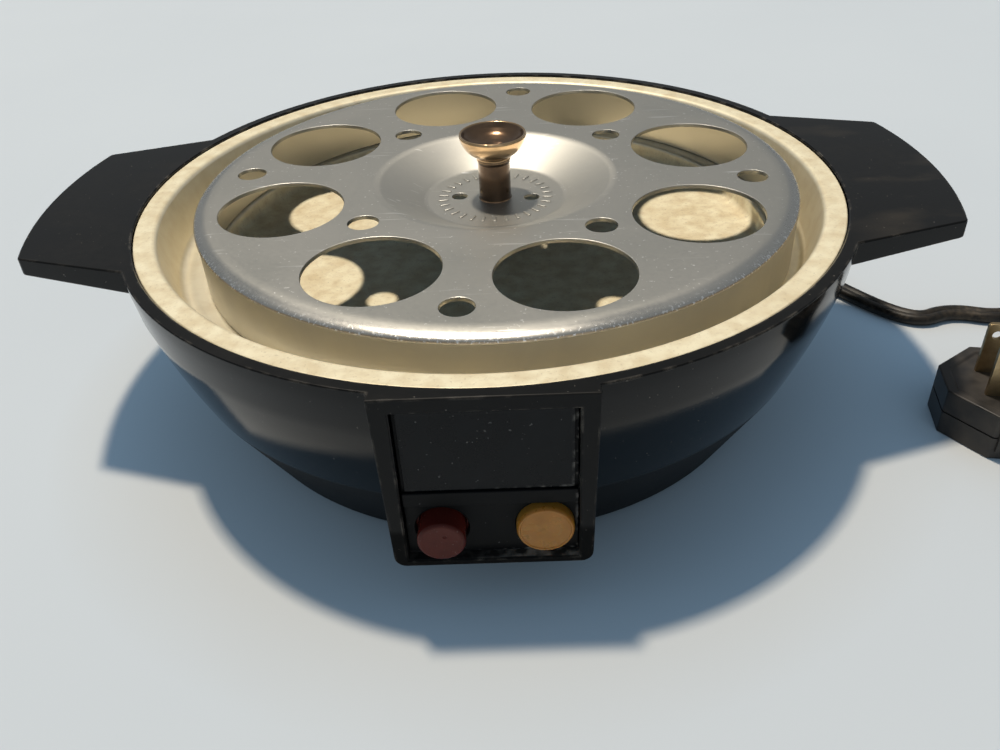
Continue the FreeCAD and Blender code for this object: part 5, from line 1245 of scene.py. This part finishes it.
class MakePanel(bpy.types.Operator):
    """Models the control panel, its plate, the button and the lens"""
    bl_idname = "egg_cooker.panel"
    bl_label = "Control panel"

    def execute(self, context):
        sizes = context.scene.panel_sizes
        colours = context.scene.cooker_colours
        dressed(self.panel(sizes), "panel", "base", ["control_panel"], panel_finish(
            "panel_charcoal", colours.panel, 0.50, 0.12, 1500, sizes.half, sizes.low, 0.9))
        dressed(self.plate(), "plate", "base", ["nameplate"], panel_finish(
            "plate_dark", colours.plate, 0.28, 0.16, 2600, PLATE_HIGH.x, PLATE_LOW.z, 0.5))
        dressed(self.button(sizes), "button", "button", ["start_button"],
                button_finish(colours, sizes.button_front))
        dressed(self.lens(sizes), "lens", "base", ["indicator_lens"],
                lens_finish(colours, sizes.lens_front))
        return {"FINISHED"}

    def panel(self, sizes):
        half, face, back = sizes.half, sizes.face, sizes.back
        panel = softened(block((-half, face, sizes.low), (half, back, sizes.high)), 0.25 * MM, 2)
        rib = softened(block(
            (-half, face - sizes.rib_proud, sizes.rib_low), (half, face + 0.5 * MM, sizes.rib_high)),
            0.35 * MM, 3)
        tools = []
        for x, z, radius in ((sizes.button_x, sizes.button_z, sizes.button_radius + 0.6 * MM),
                             (sizes.lens_x, sizes.lens_z, sizes.lens_radius + 0.05 * MM)):
            wide = radius + 0.3 * MM
            tools.append(moved(turned([
                (0, face - 3 * MM), (wide, face - 3 * MM), (wide, face - HAIR), (radius, face + 0.3 * MM),
                (radius, back + 3 * MM), (0, back + 3 * MM)], 64, "Y"), (x, 0, z)))
        inner, outer, post = back - 0.5 * MM, back + 2.5 * MM, 3 * MM
        posts = [
            moved(turned([(0, inner), (post, inner), (post, outer), (0, outer)], 32, "Y"), (0, 0, z * MM))
            for z in (37.5, 25.3)]
        combined(panel, "UNION", [rib] + posts)
        return tidied(combined(panel, "DIFFERENCE", tools))

    def plate(self):
        plate = opened(block(PLATE_LOW, PLATE_HIGH))
        pick(plate, "FACE", lambda face: face.normal.y < -0.9)
        bpy.ops.mesh.inset(thickness=0.9 * MM, depth=0)
        bpy.ops.mesh.inset(thickness=0.25 * MM, depth=-0.12 * MM)
        return softened(shut(), 0.12 * MM, 2, 40)

    def button(self, sizes):
        front, radius = sizes.button_front, sizes.button_radius
        flange, wide = sizes.back + 0.1 * MM, 7.75 * MM
        button = turned([
            (0, front + 0.3 * MM), (radius - 2.2 * MM, front + 0.22 * MM),
            (radius - 0.75 * MM, front, 0.3 * MM), (radius - 0.05 * MM, front + 0.55 * MM, 0.45 * MM),
            (radius, flange), (wide, flange, 0.2 * MM), (wide, flange + 1.5 * MM, 0.2 * MM),
            (0, flange + 1.5 * MM)], 96, "Y")
        dimple = turned([
            (0, front - 1 * MM), (0.75 * MM, front - 1 * MM), (0.75 * MM, front + 0.1 * MM),
            (0.45 * MM, front + 0.42 * MM), (0, front + 0.5 * MM)], 24, "Y")
        combined(button, "DIFFERENCE", [moved(dimple, (0.9 * MM, 0, 1.9 * MM))])
        return moved(tidied(button), (sizes.button_x, 0, sizes.button_z))

    def lens(self, sizes):
        front, radius, back = sizes.lens_front, sizes.lens_radius, sizes.back
        flange, inner = 8.3 * MM, radius - 1.5 * MM
        lens = turned([
            (0, front + 0.2 * MM), (radius - 1.0 * MM, front + 0.25 * MM, 0.08 * MM),
            (radius - 0.85 * MM, front, 0.08 * MM), (radius - 0.45 * MM, front, 0.15 * MM),
            (radius, front + 0.8 * MM, 0.4 * MM), (radius, back), (flange, back), (flange, back + 1.2 * MM),
            (inner, back + 1.2 * MM), (inner, front + 1.5 * MM), (0, front + 1.5 * MM)], 96, "Y")
        return moved(lens, (sizes.lens_x, 0, sizes.lens_z))


class MakeFeet(bpy.types.Operator):
    """Turns one rubber foot and sets its copies under the cover"""
    bl_idname = "egg_cooker.feet"
    bl_label = "Feet"

    def execute(self, context):
        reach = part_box("feet")[1].x - 6.5 * MM
        foot = turned(mm(
            (0, 0.35), (3.6, 0.35), (4.0, 0), (6.0, 0, 0.4), (6.5, 0.7, 0.3), (5.8, 4.0, 0.3), (2.0, 4.0),
            (2.0, 5.2), (2.7, 5.25, 0.2), (2.0, 6.7, 0.3), (0, 6.8)), 40)
        feet = [copied(foot, (x * reach, y * reach, 0)) for x in (1, -1) for y in (1, -1)]
        bpy.data.objects.remove(foot)
        rubber = plain_finish("foot_rubber", (0.020, 0.019, 0.018), (0.060, 0.055, 0.050), 0.7, scale=150)
        dressed(merged(feet), "rubber_feet", "base", ["feet"], rubber)
        return {"FINISHED"}


class MakeSpring(bpy.types.Operator):
    """Winds the return spring"""
    bl_idname = "egg_cooker.spring"
    bl_label = "Return spring"

    def execute(self, context):
        low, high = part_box("return_spring")
        length = high.y - low.y
        wire, turns, steps, travel = 0.25 * MM, 4, 24, 3 * MM
        reach, span = (high.x - low.x) / 2 - wire, length - 2 * wire
        clear()
        bpy.ops.mesh.primitive_circle_add(vertices=10, radius=wire, location=(reach, 0, 0))
        spring = moved(context.object, (reach, 0, 0))
        modified(spring, "SCREW", axis="Y", iterations=turns, screw_offset=span / turns, steps=steps,
                 render_steps=steps)
        opened(spring)
        pick_all()
        bpy.ops.mesh.fill_holes(sides=0)
        shut_outward()
        moved(spring, ((low.x + high.x) / 2, low.y + wire, (low.z + high.z) / 2))
        dressed(spring, "spring_coil", "base", ["return_spring"],
                plain_finish("spring_steel", *STEEL))
        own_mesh(spring)
        return {"FINISHED"}


class FinishSolids(bpy.types.Operator):
    """Gives finishes to the inner solids, which keep their shape"""
    bl_idname = "egg_cooker.solids"
    bl_label = "Inner solids"

    def execute(self, context):
        for slot, name, nodes, *looks in SOLIDS:
            finish = plain_finish(name, *looks)
            for node in nodes.split():
                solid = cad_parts[node]
                solid.data.materials.clear()
                solid.data.materials.append(finish)
        return {"FINISHED"}


OPERATORS = (
    MakeStage, MakeCord, MakeBowl, MakePan, MakeRack, MakePanel, MakeFeet, MakeSpring, FinishSolids)
GROUPS = {
    "bowl_sizes": BowlSizes, "pan_sizes": PanSizes, "rack_sizes": RackSizes,
    "panel_sizes": PanelSizes, "cord_sizes": CordSizes, "cooker_colours": CookerColours}


class CookerPanel(bpy.types.Panel):
    """Lists the pieces of the egg cooker"""
    bl_idname = "VIEW3D_PT_egg_cooker"
    bl_label = "Egg cooker"
    bl_space_type = "VIEW_3D"
    bl_region_type = "UI"
    bl_category = "Egg cooker"

    def draw(self, context):
        for operator in OPERATORS:
            self.layout.operator(operator.bl_idname)
        for name, group in GROUPS.items():
            box = self.layout.box()
            for prop in group.__annotations__:
                box.prop(getattr(context.scene, name), prop)


def register():
    for kind in (*GROUPS.values(), *OPERATORS, CookerPanel):
        bpy.utils.register_class(kind)
    for name, group in GROUPS.items():
        setattr(bpy.types.Scene, name, PointerProperty(type=group))


def unregister():
    for name in GROUPS:
        delattr(bpy.types.Scene, name)
    for kind in reversed((*GROUPS.values(), *OPERATORS, CookerPanel)):
        bpy.utils.unregister_class(kind)


def main():
    register()
    for operator in OPERATORS:
        getattr(bpy.ops.egg_cooker, operator.bl_idname.split(".")[1])()


if __name__ == "__main__":
    main()
